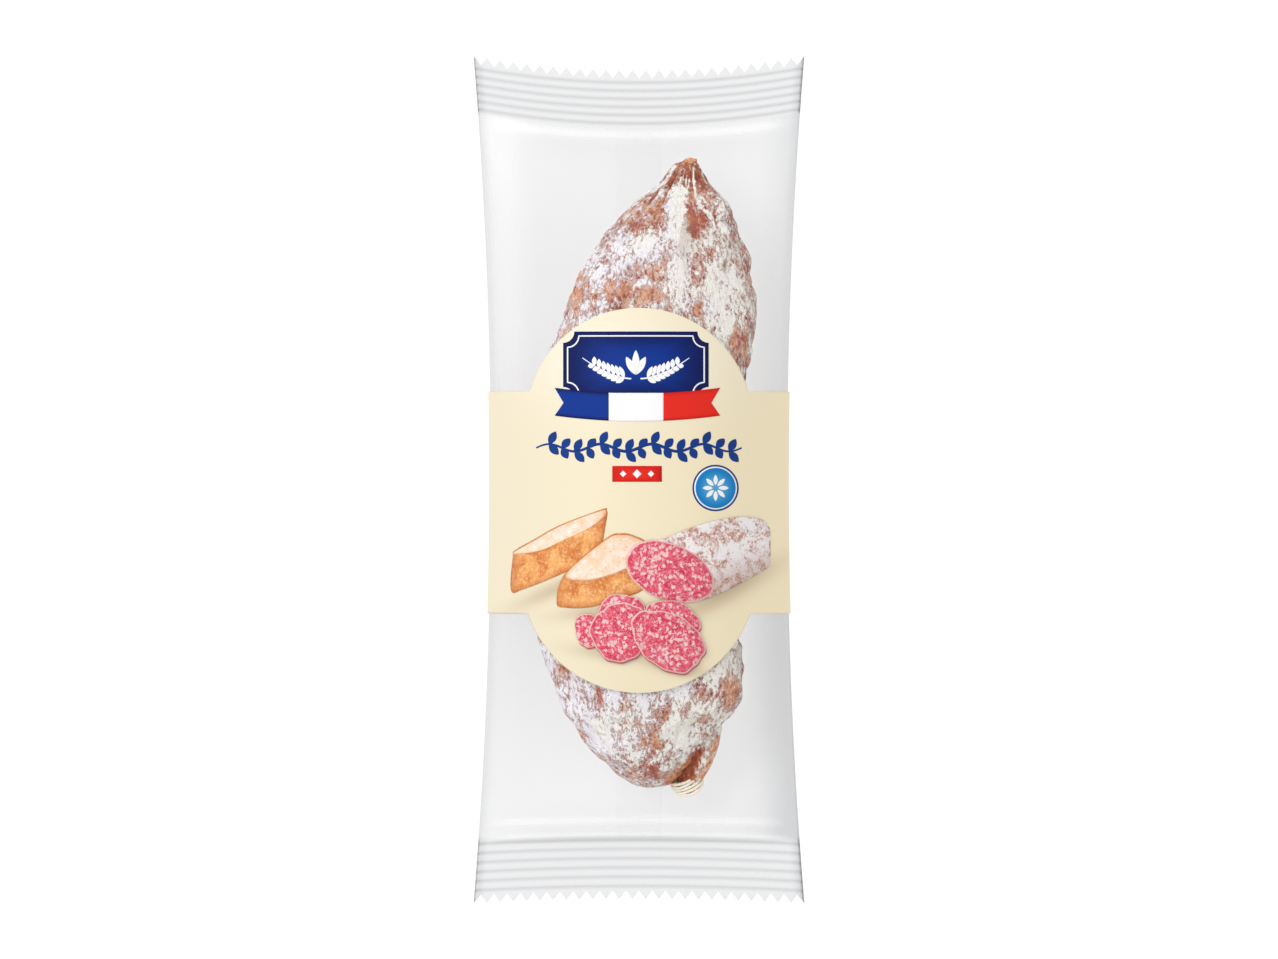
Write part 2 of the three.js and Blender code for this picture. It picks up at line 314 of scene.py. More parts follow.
# shader maths
class Wire:
    # one output socket, so that maths on it reads as maths
    def __init__(self, socket):
        self.socket = socket

    def node(self, kind, settings=None, sockets=None, out=0):
        # any node: settings first, then a value or a Wire for each input by name or number
        made = self.socket.id_data.nodes.new(kind)
        for key, value in (settings or {}).items():
            setattr(made, key, value)
        for key, value in (sockets or {}).items():
            self.join(value, made.inputs[key])
        return Wire(made.outputs[out])

    def join(self, value, target):
        # a link for a Wire, a plain value for anything else
        if isinstance(value, Wire):
            self.socket.id_data.links.new(value.socket, target)
        else:
            target.default_value = value

    def maths(self, operation, *values):
        # one Math node on values and Wires
        return self.node("ShaderNodeMath", {"operation": operation}, dict(enumerate(values)))

    def __add__(self, other):
        return self.maths("ADD", self, other)

    def __sub__(self, other):
        return self.maths("SUBTRACT", self, other)

    def __rsub__(self, other):
        return self.maths("SUBTRACT", other, self)

    def __mul__(self, other):
        return self.maths("MULTIPLY", self, other)

    def __truediv__(self, other):
        return self.maths("DIVIDE", self, other)

    def __rtruediv__(self, other):
        return self.maths("DIVIDE", other, self)

    __radd__ = __add__
    __rmul__ = __mul__

    def exponential(self):
        # e to the power of this
        return self.maths("EXPONENT", self)

    def step(self, low, high):
        # 0 below low, 1 above high, smooth between
        settings = {"interpolation_type": "SMOOTHSTEP"}
        return self.node("ShaderNodeMapRange", settings, {0: self, 1: low, 2: high, 3: 0.0, 4: 1.0})

    def mix(self, first, second):
        # first where this is 0, second where it is 1
        return self.node("ShaderNodeMix", {"data_type": "RGBA"}, {0: self, 6: first, 7: second}, 2)

    def stretch(self, scale, offset=(0.0, 0.0, 0.0)):
        # this * scale + offset, as vectors
        settings = {"operation": "MULTIPLY_ADD"}
        return self.node("ShaderNodeVectorMath", settings, {0: self, 1: scale, 2: offset})

    def noise(self, scale, detail=3.0, rough=0.55, warp=0.0, out=0):
        # noise at this place: a number, or a vector from out 1
        sockets = {"Vector": self, "Scale": scale, "Detail": detail, "Roughness": rough, "Distortion": warp}
        return self.node("ShaderNodeTexNoise", {}, sockets, out)

    def cells(self, scale, out=0):
        # distance to the nearest cell's middle, or the cell's own random colour from out 1
        return self.node("ShaderNodeTexVoronoi", {}, {"Vector": self, "Scale": scale}, out)

    def part(self, axis):
        # one number of a vector or colour
        return self.node("ShaderNodeSeparateXYZ", {}, {0: self}, axis)

    def bump(self, strength=1.0):
        # the normal over this height in metres
        return self.node("ShaderNodeBump", {}, {"Strength": strength, "Distance": 1.0, "Height": self})


def rgb(red, green, blue):
    # display values 0 to 255 as linear light: c / 12.92 when dark, ((c + 0.055) / 1.055)^2.4 above
    parts = np.array([red, green, blue]) / 255
    linear = np.where(parts <= 0.04045, parts / 12.92, ((parts + 0.055) / 1.055) ** 2.4)
    return tuple(float(part) for part in linear)


def paint(red, green, blue):
    # display values 0 to 255 as an opaque colour
    return (*rgb(red, green, blue), 1.0)


def newFinish(name, **fixed):
    # a Principled material with its constants set, and its Object coordinates in millimetres
    material = bpy.data.materials.new(name)
    material.use_nodes = True
    shader = material.node_tree.nodes["Principled BSDF"]
    for key, value in fixed.items():
        shader.inputs[key.replace("_", " ")].default_value = value
    places = Wire(material.node_tree.nodes.new("ShaderNodeTexCoord").outputs["Object"])
    return material, shader, places.stretch((1 / metre, 1 / metre, 1 / metre))


def feed(shader, key, wire):
    # links a Wire to the shader's named input
    wire.join(wire, shader.inputs[key])


def attribute(wire, name):
    # a mesh attribute's value, in the tree that the wire is in
    return wire.node("ShaderNodeAttribute", {"attribute_name": name}, {}, 2)


def filmFinish():
    # opacity and tone are the mesh's own: clear and grey over the pack, milky in the bands, with painted
    # shade in their grooves, at the edges and on the right, and painted highlights on the left and along
    # the creases
    material, shader, places = newFinish("clearFilm", IOR=1.45, Specular_IOR_Level=0.4)
    feed(shader, "Alpha", attribute(places, "opacity"))
    tone = attribute(places, "tone")
    feed(shader, "Base Color", tone.mix(paint(150, 152, 156), paint(238, 238, 238)))
    drift = places.stretch((0.05, 0.02, 0.05)).noise(1.0, 2.0)
    feed(shader, "Roughness", drift * 0.1 + 0.3)
    return material


# the sausage's body, which the film's opacity follows too
sausageShape = {
    # place along the pack, then the left and right edges of the body as seen from above
    "edges": [
        (-80.0, 1.6, 3.6),
        (-79.6, -0.2, 6.4),
        (-78.0, -3.6, 9.4),
        (-75.0, -7.6, 12.2),
        (-71.6, -11.2, 15.0),
        (-67.5, -14.3, 18.4),
        (-62.2, -18.1, 22.0),
        (-60.6, -18.9, 24.4),
        (-57.5, -19.9, 26.5),
        (-52.0, -21.9, 27.0),
        (-45.6, -23.9, 26.8),
        (-31.0, -25.6, 27.3),
        (0.0, -25.8, 27.6),
        (20.0, -25.3, 27.8),
        (29.8, -24.2, 27.6),
        (34.2, -22.6, 28.9),
        (41.0, -19.7, 29.3),
        (48.0, -17.6, 28.8),
        (53.2, -15.7, 28.0),
        (57.6, -13.7, 27.3),
        (63.3, -10.0, 26.0),
        (67.7, -5.9, 24.8),
        (72.2, -1.1, 22.9),
        (77.1, 4.4, 18.5),
        (79.5, 6.7, 16.9),
        (81.3, 8.5, 15.8),
        (82.1, 9.5, 15.3),
        (82.5, 10.6, 14.6),
    ],
    "rows": 330,
    "columns": 250,
    "flatness": 0.833,
    "axisLevel": 23.85,
    "endDroop": 4.5,
    "filmGap": 0.5,
    "pleatDepth": 1.5,
    "lineDepth": 0.43,
    "valleyDepth": 1.6,
    "ridgeHeight": 0.7,
    "tuckDepth": 0.7,
    # lumps: height, size and seed
    "lumps": [(0.55, 19, 1), (0.34, 8, 2), (0.2, 3.6, 3), (0.1, 1.8, 5)],
}


def bodyEdges(y):
    # the body's left and right edges at y, as smooth curves through the stations
    ends = sausageShape["edges"]
    both = throughStations(ends, np.clip(y, ends[0][0], ends[-1][0]))
    return both[..., 0], both[..., 1]


def outsideSausage(x, y):
    # the lesser of how far a plan point lies outside the body's edges and outside the tail's middle line
    # less its half width, so it is negative within them
    left, right = bodyEdges(y)
    beside = np.maximum(left - x, x - right)
    ends = sausageShape["edges"]
    beside = np.maximum(beside, np.maximum(y - ends[-1][0], ends[0][0] - y))
    start, end = np.array(film["tailLine"])
    reach = end - start
    share = np.clip(((x - start[0]) * reach[0] + (y - start[1]) * reach[1]) / (reach**2).sum(), 0, 1)
    fromTail = np.hypot(x - start[0] - share * reach[0], y - start[1] - share * reach[1]) - film["tailHalf"]
    return np.minimum(beside, fromTail)


def filmOpacity(x, y, along):
    # opacity of the front and of the back, and the tone, grey at 0 and white at 1. The back has an even
    # part, so that the sausage's outline stays crisp in front of it. The front has overSausage + (folded
    # and shaded shares, the second painted shade) outside the sausage, and band in the bands. The tone
    # carries painted light: painted shade in the grooves, at the side edges and low on the right, and
    # painted highlights down the left and along the creases beside the bands
    across = x / halfWidth(along)
    into = np.abs(along) - film["sealStart"] - np.where(along > 0, 0.6, -1.3)
    band = smoothStep(-0.9, 0.2, into)
    clear = 1 - band
    folded = 1 - (1 - smoothStep(0.6, 1.0, np.abs(across))) * (1 - smoothStep(-14, 0, into))
    # painted highlight: pale lines in the tone along the creases beside the bands
    creaseHighlight = np.where(along > 0, bell(into, -2.6, 1.3), bell(into, -0.4, 0.5) + 0.8 * bell(into, -4.4, 0.8))
    creaseHighlight = creaseHighlight * smoothStep(1.0, 0.75, np.abs(across))
    low = smoothStep(20, -50, y)
    # painted shade: more opacity and a darker tone on the right side, most of all low down
    shade = smoothStep(0.72, 1.0, across) * (0.45 + 0.55 * low) + 0.3 * low * bell(across, 0.8, 0.16)
    shade = shade * clear
    # painted highlight: a pale band in the tone down the left side
    glow = bell(across, -0.84, 0.13) * (1 - 0.8 * low) * clear
    own = film["folded"] * folded + film["shaded"] * shade
    front = film["overSausage"] + own * smoothStep(0.0, 2.0, outsideSausage(x, y))
    front = front + (film["band"] - front) * band
    back = film["underneath"] + film["beside"] * clear
    tone = 0.1 + (0.3 * folded + 0.4 * creaseHighlight + 0.22 * glow - 0.45 * shade) * clear
    # the bands are white, with painted shade in their grooves
    tone = tone + 0.54 * band * (1 - 0.36 * groove(along))
    # painted shade: the tone darkens at the side edges
    edge = 0.3 * smoothStep(0.93, 1.0, np.abs(across))
    return front, back, np.clip(tone - edge, 0, 1)


def buildFilm():
    # a tube: x = across halfWidth, y = bowedPlace and z = the front or back level, with across from -1 to
    # 1 over the front and back again underneath. Beyond the last groove the rows close up on a zigzag of
    # teeth
    sealStart, halfLength = film["sealStart"], film["halfLength"]
    columns = film["toothCount"] * 4 + 1
    across = np.linspace(-1, 1, columns)
    tooth = np.abs(((across + 1) / 2 * film["toothCount"] + 0.5) % 1 - 0.5) * 2
    teethStart = halfLength - film["toothDepth"] - 0.3
    body = np.linspace(1 - sealStart, sealStart - 1, 220)
    band = np.linspace(sealStart - 1, teethStart, 74)[1:]
    share = np.linspace(0, 1, 7)[1:, None]
    zigzag = teethStart + (halfLength - film["toothDepth"] * tooth - teethStart) * share
    straight = np.concatenate([-band[::-1], body, band])[:, None] + 0 * across
    along = np.concatenate([-zigzag[::-1], straight, zigzag])
    rows = len(along)
    share = np.broadcast_to(across, along.shape)
    x = share * halfWidth(along)
    y = bowedPlace(share, along)
    front = np.stack([x, y, frontLevel(share, along) + filmRelief(x, along)], -1)
    back = np.stack([x, y, backSurface(share, along)], -1)
    ring = np.concatenate([front, back[:, -2:0:-1]], 1)
    around = ring.shape[1]
    above, beneath, tone = filmOpacity(x, y, along)
    marks = {
        "opacity": np.concatenate([above, beneath[:, -2:0:-1]], 1),
        # the back's tone is raised by the painted light
        "tone": np.concatenate([tone, np.clip(tone[:, -2:0:-1] + film["backPaintedLight"], 0, 1)], 1),
    }
    # each cut end is closed by faces from a front point to the back point under it
    j = np.arange(1, columns - 2)
    between = np.stack([j, around - j, around - j - 1, j + 1], -1)
    sides = np.array([[0, around - 1, 1], [columns - 2, columns, columns - 1]])
    faces = gridFaces(rows, around, closed=True)
    for group in (between, sides):
        faces += group.tolist() + ((rows - 1) * around + group[:, ::-1]).tolist()
    return ring.reshape(-1, 3), faces, marks


points, faces, marks = buildFilm()
clearFilm = filmFinish()
wrapper = addPiece("filmWrapper", points, faces, clearFilm, marks=marks)
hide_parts("film_wrapper")
print("stage: film", len(faces), "faces")


def buildFin():
    # the back seam, a flat flap under the back: x = side finWidth / 2 + 0.25 sin(along / 7) free, where
    # free is 0 at the joined edge and 1 at the loose one, and its upper face rises as 1 + sin(along / 5)
    # there
    rows, columns = 120, 24
    along = np.linspace(-film["sealStart"] + 1, film["sealStart"] - 1, rows)[:, None]
    side = np.linspace(-1, 1, columns)[None, :]
    free = (side + 1) / 2
    x = side * film["finWidth"] / 2 + 0.25 * np.sin(along / 7.0) * free
    y = bowedPlace(0, along) + 0 * x
    low = backSurface(0, along) - film["backLevel"]
    top = np.stack([x, y, low + 0.22 + 0.12 * free * (1 + np.sin(along / 5)) / 2], -1)
    under = np.stack([x, y, low + 0.02 + 0 * x], -1)
    return cappedTube(np.concatenate([top, under[:, ::-1]], 1))


points, faces = buildFin()
marks = {"opacity": np.full(len(points), film["underneath"]), "tone": np.full(len(points), film["finTone"])}
addPiece("backFin", points, faces, clearFilm, marks=marks, outward=True)
print("stage: back fin")

# the bloom on the sausage's casing. A patch is its middle (x, y), its reaches and how much bloom it adds
bloomPatches = [
    (10.0, 72.0, 2.4, 5.0, 1.1),
    (10.3, 62.0, 2.7, 7.0, 1.2),
    (10.8, 51.0, 2.6, 6.0, 1.0),
    (16.6, 73.4, 1.5, 2.6, 0.8),
    (20.5, 65.5, 2.2, 5.0, 0.9),
    (19.0, 50.5, 2.0, 6.0, 0.9),
    (23.5, 56.0, 1.8, 6.0, 0.7),
    (25.0, 45.0, 2.2, 6.0, 0.6),
    (22.0, 39.5, 2.0, 4.0, 0.7),
    (0.0, 61.0, 6.0, 3.5, 0.6),
    (-11.5, 56.0, 3.0, 6.0, 0.6),
    (-4.0, 53.0, 3.0, 3.0, 0.5),
    (2.0, 43.0, 4.0, 3.0, 0.5),
    (-13.0, 41.0, 4.0, 4.0, 0.6),
    (13.0, 80.5, 10.0, 4.2, -2.7),
    (16.0, 67.5, 1.5, 4.0, -0.7),
    (13.7, 67.0, 0.9, 8.0, -1.3),
    (21.0, 72.0, 2.4, 3.0, -0.5),
    (5.0, 68.5, 3.0, 3.6, -0.7),
    (-1.5, 66.0, 4.0, 2.4, -0.5),
    (4.5, 53.5, 3.4, 2.4, -0.9),
    (-8.0, 47.5, 4.6, 2.4, -0.9),
    (-15.8, 47.0, 1.8, 5.0, -1.0),
    (3.0, 47.5, 3.4, 1.8, -0.8),
    (15.0, 45.0, 1.6, 4.0, -0.7),
    (26.0, 35.8, 2.6, 4.0, -1.1),
    (14.6, 53.0, 1.4, 4.0, -0.6),
    (-19.7, -49.5, 2.0, 3.0, -1.1),
    (-10.6, -57.0, 1.1, 3.6, -0.9),
    (-3.6, -57.8, 1.1, 4.4, -0.9),
    (7.2, -60.4, 1.8, 2.8, -1.0),
    (4.2, -67.7, 2.4, 2.8, -1.1),
    (1.1, -75.5, 3.8, 2.2, -1.0),
    (-15.3, -65.0, 1.4, 3.8, -1.0),
    (24.1, -54.7, 2.6, 4.6, -1.3),
    (15.9, -54.2, 1.8, 3.0, -0.6),
    # painted shade: this patch takes bloom away where the body's shadow falls beside the tail
    (8.9, -77.5, 3.0, 1.4, -0.9),
    (-6.5, -63.0, 1.0, 3.0, -0.6),
    (10.7, -64.7, 3.5, 3.5, 0.8),
    (-9.3, -66.5, 3.4, 4.5, 0.7),
    (1.0, -67.0, 6.5, 8.0, -0.45),
    (17.0, 75.5, 2.4, 5.0, -1.8),
    (7.4, 77.5, 2.6, 3.4, -0.8),
    (4.2, -72.0, 4.0, 5.0, -0.5),
]

# thin lines of bloom on the pleats: start and end (x, y), half width and how much bloom each adds
bloomStrokes = [
    ((14.2, 81.0), (14.1, 77.6), 0.2, 3.4),
    ((14.1, 77.6), (14.6, 73.6), 0.26, 3.4),
    ((14.6, 73.6), (15.8, 70.6), 0.22, 3.0),
    ((15.8, 70.6), (18.6, 68.6), 0.3, 2.4),
    ((12.0, 80.6), (11.4, 78.2), 0.13, 3.0),
    ((12.5, 79.0), (12.1, 76.6), 0.13, 3.2),
    ((13.1, 78.0), (12.8, 75.8), 0.12, 3.0),
    ((10.9, 78.4), (10.4, 76.2), 0.14, 3.0),
    ((9.3, 81.2), (8.2, 79.9), 0.4, 3.0),
    ((8.4, 79.4), (6.4, 77.0), 0.35, 3.2),
    ((6.4, 77.0), (3.6, 74.6), 0.45, 2.8),
    ((16.2, 79.4), (17.6, 76.6), 0.12, 2.6),
]


def strokeBell(points, start, end, half):
    # exp(-(distance / half)^2) from the plan line between start and end
    reach = np.subtract(end, start)
    away = points[:, :2] - start
    share = np.clip(away @ reach / (reach**2).sum(), 0, 1)
    return bell(np.linalg.norm(away - share[:, None] * reach, axis=1), 0.0, half)


def bloomBias(points):
    # 0.35 low on the body, plus amount exp(-((x - px) / rx)^2 - ((y - py) / ry)^2) for each patch, plus
    # amount exp(-(distance / half)^2) for each stroke; the underside has waves in place of both
    x, y, z = points.T
    above = smoothStep(20.0, 26.0, z)
    total = 0.35 * smoothStep(-30, -50, y) * above
    for px, py, rx, ry, amount in bloomPatches:
        total = total + above * amount * np.exp(-(((x - px) / rx) ** 2) - ((y - py) / ry) ** 2)
    for start, end, half, amount in bloomStrokes:
        total = total + smoothStep(16.0, 20.0, z) * amount * strokeBell(points, start, end, half)
    under = 0.25 * waves(points * (1, 0.7, 1), 16, 31, 20) * (1 - above)
    return total + under - 1.2 * smoothStep(77, 81, y) * (1 - above)


def buildBody():
    # rings (middle + half R cos t, y, level + half flatness R sin t) with R = 1 + relief / half: pleats
    # drawn in towards the tip, one deep valley beside a raised ridge, and lumps of four sizes
    shape = sausageShape
    low, high = shape["edges"][0][0], shape["edges"][-1][0]
    s = np.linspace(0, 1, shape["rows"])
    s = 0.35 * s + 0.65 * (1 - np.cos(np.pi * s)) / 2
    y = (low + (high - low) * s)[:, None]
    turn = np.linspace(np.pi, -np.pi, shape["columns"], endpoint=False)[None, :]
    left, right = bodyEdges(y)
    middle, half = (left + right) / 2, (right - left) / 2
    fromMiddle = np.abs(2 * (y - low) / (high - low) - 1)
    level = shape["axisLevel"] - shape["endDroop"] * fromMiddle**3
    flat = shape["flatness"] + (0.96 - shape["flatness"]) * smoothStep(0.8, 1.0, fromMiddle)
    smooth = np.stack([middle + half * np.cos(turn), y + 0 * turn, level + half * flat * np.sin(turn)], -1)
    stretched = smooth * (1, 0.6, 1)
    tip = high - y
    gather = smoothStep(0, 5, tip) * (1 - smoothStep(14, 44, tip))
    folds = 1 - np.abs(np.sin(6.5 * turn + 0.9 * np.sin(2 * turn + 1) + 0.05 * tip)) ** 0.55
    lines = 1 - np.abs(np.sin(19 * turn + 1.7 * np.sin(3 * turn))) ** 0.7
    fine = smoothStep(0, 3, tip) * (1 - smoothStep(8, 16, tip))
    relief = -shape["pleatDepth"] * gather * folds - shape["lineDepth"] * lines * fine
    valley = smoothStep(1, 8, tip) * (1 - smoothStep(16, 40, tip))
    relief = relief - shape["valleyDepth"] * bell(turn, 1.27, 0.15) * valley
    relief = relief + shape["ridgeHeight"] * bell(turn, 1.62, 0.18) * valley
    heel = y - low
    tuck = smoothStep(0, 6, heel) * (1 - smoothStep(10, 30, heel))
    relief = relief - shape["tuckDepth"] * tuck * (1 - np.abs(np.sin(3.5 * turn + 0.5)) ** 0.5)
    soft = smoothStep(0, 6, np.minimum(tip, heel))
    relief = relief + soft * sum(tall * waves(stretched, size, seed) for tall, size, seed in shape["lumps"])
    radius = half + relief
    x = middle + radius * np.cos(turn)
    z = level + radius * flat * np.sin(turn)
    gap = shape["filmGap"]
    z = np.clip(z, backSkin(x, y + 0 * x) + skinThickness(y) + gap, frontSkin(x, y + 0 * x) - gap)
    points, faces = cappedTube(np.stack([x, y + 0 * x, z], -1))
    sunk = np.concatenate([np.clip(-relief, 0, 3).ravel(), [0, 0]])
    return points, faces, sunk


tailShape = {
    # x, y, level and radius from inside the body to the end of the neck, which the string covers
    "path": [
        (0.0, 11.0, -54.0, 21.5, 8.6),
        (1.0, 15.6, -61.5, 21.3, 6.2),
        (2.0, 16.8, -66.8, 21.6, 4.4),
        (3.0, 16.1, -71.4, 21.4, 3.7),
        (4.0, 14.8, -75.0, 20.6, 3.2),
        (5.0, 12.7, -77.6, 19.0, 3.0),
        (6.0, 12.6, -79.2, 17.8, 2.4),
        (7.0, 13.7, -80.9, 16.9, 1.7),
    ],
    "knob": [
        (0.0, 10.4, 81.7, 19.9, 0.4),
        (1.0, 11.9, 82.3, 20.2, 0.65),
        (2.0, 13.4, 82.6, 20.3, 0.85),
        (3.0, 14.9, 82.6, 20.0, 0.7),
    ],
    # the middle of the tail from above, as -y and x
    "middleLine": [(63.0, 17.8), (68.0, 16.9), (72.0, 15.9), (76.0, 14.4), (80.0, 12.9)],
    # the amber edge of the body beside the tail, from and to (x, y)
    "rimLine": ((14.9, -71.2), (8.0, -79.0)),
}


def sweep(path, radius, sides=24, up=(0.0, 0.0, 1.0), relief=None):
    # rings path + reach (cos turn side + sin turn lift), with side and lift square to the path and to each
    # other, and reach = radius + relief(turn, share); share goes from 0 to 1 along the path
    heading = np.gradient(path, axis=0)
    heading /= np.linalg.norm(heading, axis=1)[:, None]
    side = np.cross(heading, np.asarray(up, float))
    side /= np.linalg.norm(side, axis=1)[:, None]
    lift = np.cross(side, heading)
    turn = np.linspace(0, 2 * np.pi, sides, endpoint=False)[None, :]
    share = np.linspace(0, 1, len(path))[:, None]
    reach = np.broadcast_to(np.asarray(radius, float).reshape(-1, 1), (len(path), sides))
    if relief is not None:
        reach = reach + relief(turn, share)
    rings = path[:, None] + (reach * np.cos(turn))[..., None] * side[:, None]
    return cappedTube(rings + (reach * np.sin(turn))[..., None] * lift[:, None])


def mergeParts(parts):
    # several (points, faces) as one
    allPoints, allFaces, start = [], [], 0
    for points, faces in parts:
        allPoints.append(points)
        allFaces += [[start + corner for corner in face] for face in faces]
        start += len(points)
    return np.concatenate(allPoints), allFaces


def twistRelief(turn, share):
    # pleats that wind along the tail: -0.5 (1 - |sin(3.5 turn + 3 share)|^0.6), gone at its end
    pleat = 1 - np.abs(np.sin(3.5 * turn + 3 * share)) ** 0.6
    return -0.5 * pleat * (0.4 + share) * (1 - share**4)


def roughRelief(turn, share):
    # 0.16 sin(3 turn + 9 share)
    return 0.16 * np.sin(3 * turn + 9 * share)


def casingMarks(points, inTail, sunk):
    # a value a point: amber on the tail, its rim and the two tips, shaded on the tail's inner side and
    # the pointed tip, and a bias to bloom, less in the folds and least where the casing is bare
    x, y, z = points.T
    line = tailShape["middleLine"]
    middle = throughStations(line, np.clip(-y, line[0][0], line[-1][0]))[:, 0]
    inner = smoothStep(middle + 0.9, middle - 0.3, x) * smoothStep(-67, -72, y) * inTail
    outer = smoothStep(middle + 1.2, middle + 2.8, x) * smoothStep(-64, -70, y) * inTail
    rim = strokeBell(points, *tailShape["rimLine"], 0.9) * (z > 18) * ~inTail
    tip = 0.16 * smoothStep(74, 78.5, y) + 0.5 * smoothStep(80.5, 82.5, y)
    amber = np.where(inTail, 0.7 * smoothStep(-64, -76, y) + smoothStep(78, 81, y), tip)
    amber = np.maximum(amber + 0.5 * rim, outer)
    pleats = 1.3 * smoothStep(60, 76, y) * (0.45 - np.clip(sunk, 0, 1.4))
    bare = 2.0 * smoothStep(80, 81, y) + 1.9 * inner + 0.9 * outer + 0.9 * smoothStep(-75, -78, y)
    bias = np.where(inTail, 0.9 - 0.9 * amber - bare, bloomBias(points) + pleats - 1.6 * rim)
    shaded = np.maximum(inner, 0.75 * smoothStep(72, 77, y) * ~inTail)
    return {"sunk": sunk, "amber": amber, "bias": bias, "shaded": shaded}


def buildSausage():
    # the body, the tail and the knob as one piece; the tail and the knob are rings swept along smooth paths
    bodyPoints, bodyFaces, sunk = buildBody()
    line = throughStations(tailShape["path"], np.linspace(0, 7, 110))
    tail = sweep(line[:, :3], line[:, 3], 56, relief=twistRelief)
    knobLine = throughStations(tailShape["knob"], np.linspace(0, 3, 24))
    knob = sweep(knobLine[:, :3], knobLine[:, 3], 20, relief=roughRelief)
    points, faces = mergeParts([(bodyPoints, bodyFaces), tail, knob])
    sunk = np.concatenate([sunk, np.zeros(len(points) - len(bodyPoints))])
    return points, faces, casingMarks(points, np.arange(len(points)) >= len(bodyPoints), sunk)


def casingFinish():
    # bloom stands where a slow density and quick flecks add up past a threshold, and thins to a pale veil
    material, shader, places = newFinish("bloomedCasing", Specular_IOR_Level=0.3)
    drawn = places.stretch((1.0, 0.55, 1.0))
    broad = drawn.noise(0.1, 3.0, 0.6, 0.3)
    patchy = drawn.noise(0.34, 4.0, 0.62, 0.5)
    flakes = drawn.noise(1.25, 4.0, 0.66, 0.6)
    grain = places.noise(3.2, 2.0, 0.6)
    bias = attribute(places, "bias")
    amber = attribute(places, "amber")
    sunk = attribute(places, "sunk")
    density = broad * 1.2 + patchy * 1.9 + bias * 0.42 - 1.47
    amount = density + flakes * 2.6 + grain * 0.9 - 1.75
    thin = amount.step(-0.38, 0.03)
    full = amount.step(0.02, 0.12)
    hue = places.noise(0.16, 3.0, 0.6)
    meat = hue.step(0.4, 0.6).mix(paint(212, 152, 116), paint(168, 80, 58))
    meat = flakes.step(0.3, 0.5).mix(paint(122, 64, 44), meat)
    amberTone = flakes.step(0.3, 0.6).mix(paint(170, 82, 26), paint(244, 156, 66))
    meat = amber.step(0.0, 0.9).mix(meat, amberTone)
    shadedTone = flakes.step(0.3, 0.66).mix(paint(104, 34, 12), paint(174, 80, 40))
    meat = (attribute(places, "shaded") * 0.9).mix(meat, shadedTone)
    veil = (thin * 0.62).mix(meat, paint(236, 210, 204))
    tone = (places.noise(0.1, 2.0) + places.part(0) * 0.012 - 0.04).step(0.3, 0.7)
    bloom = tone.mix(paint(241, 237, 245), paint(247, 244, 233))
    bloom = grain.step(0.3, 0.5).mix(paint(226, 218, 218), bloom)
    bloom = (flakes.step(0.62, 0.4) * patchy.step(0.6, 0.45) * 0.5).mix(bloom, paint(222, 206, 206))
    skin = full.mix(veil, bloom)
    # painted shade: the casing turns grey-brown in the deepest folds
    skin = (sunk.step(0.6, 2.4) * 0.34).mix(skin, paint(150, 108, 90))
    feed(shader, "Base Color", skin)
    feed(shader, "Roughness", full * 0.4 + thin * 0.1 + 0.42)
    height = full * 0.0004 + patchy * 0.0005 + flakes * 0.0007 + grain * 0.00025
    feed(shader, "Normal", height.bump())
    return material


points, faces, marks = buildSausage()
sausage = addPiece("curedSausage", points, faces, casingFinish(), marks=marks, outward=True)
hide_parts("sausage")
print("stage: sausage", len(faces), "faces")

stringShape = {
    "middle": (12.5, -78.4, 18.2),
    "axis": (0.42, -0.80, -0.42),
    "bore": 2.9,
    "strands": 5,
    "thickness": 0.85,
    "fan": 0.96,
    "steps": 96,
    "sides": 12,
    "looseEnd": [
        (0.0, 14.9, -77.2, 21.2),
        (1.0, 16.1, -75.6, 21.7),
        (2.0, 16.6, -73.8, 20.6),
        (3.0, 16.1, -72.6, 19.0),
    ],
}


def plyRelief(turn, share):
    # three plies wound along a strand: 0.05 cos(3 turn + 150 share)
    return 0.05 * np.cos(3 * turn + 150 * share)


def buildString():
    # strands round the neck: middle + offset axis + radius (cos t first + sin t second), fanned on one
    # side and drawn together on the other, with one loose end
    shape = stringShape
    axis = np.array(shape["axis"]) / np.linalg.norm(shape["axis"])
    first = np.cross(axis, (0, 0, 1))
    first /= np.linalg.norm(first)
    second = np.cross(first, axis)
    t = np.linspace(0, 2 * np.pi, shape["steps"])[:, None]
    sides, half = shape["sides"], shape["thickness"] / 2
    parts = []
    for k in range(shape["strands"]):
        place = k - (shape["strands"] - 1) / 2
        spread = shape["fan"] * (0.74 + 0.26 * np.cos(t - 1.4)) + 0.07 * np.sin(3 * t + 2.1 * k)
        swell = 0.55 * (1 - (place / 3.6) ** 2) + 0.16 * np.sin(2 * t + k)
        radius = shape["bore"] + half + swell
        path = np.array(shape["middle"]) + place * spread * axis
        path = path + radius * (np.cos(t) * first + np.sin(t) * second)
        parts.append(sweep(path, np.full(len(path), half), sides, up=axis, relief=plyRelief))
    line = throughStations(shape["looseEnd"], np.linspace(0, 3, 40))
    parts.append(sweep(line, np.full(len(line), 0.42), sides, relief=plyRelief))
    points, faces = mergeParts(parts)
    # how far round a strand a point faces its neighbour, |sin turn|^3, where painted shade gathers; the
    # two middle points of a strand's ends and the loose end have none
    turn = np.linspace(0, 2 * np.pi, sides, endpoint=False)
    strand = np.append(np.tile(np.abs(np.sin(turn)) ** 3, shape["steps"]), (0.0, 0.0))
    shared = np.tile(strand, shape["strands"])
    return points, faces, np.append(shared, np.zeros(len(points) - len(shared)))


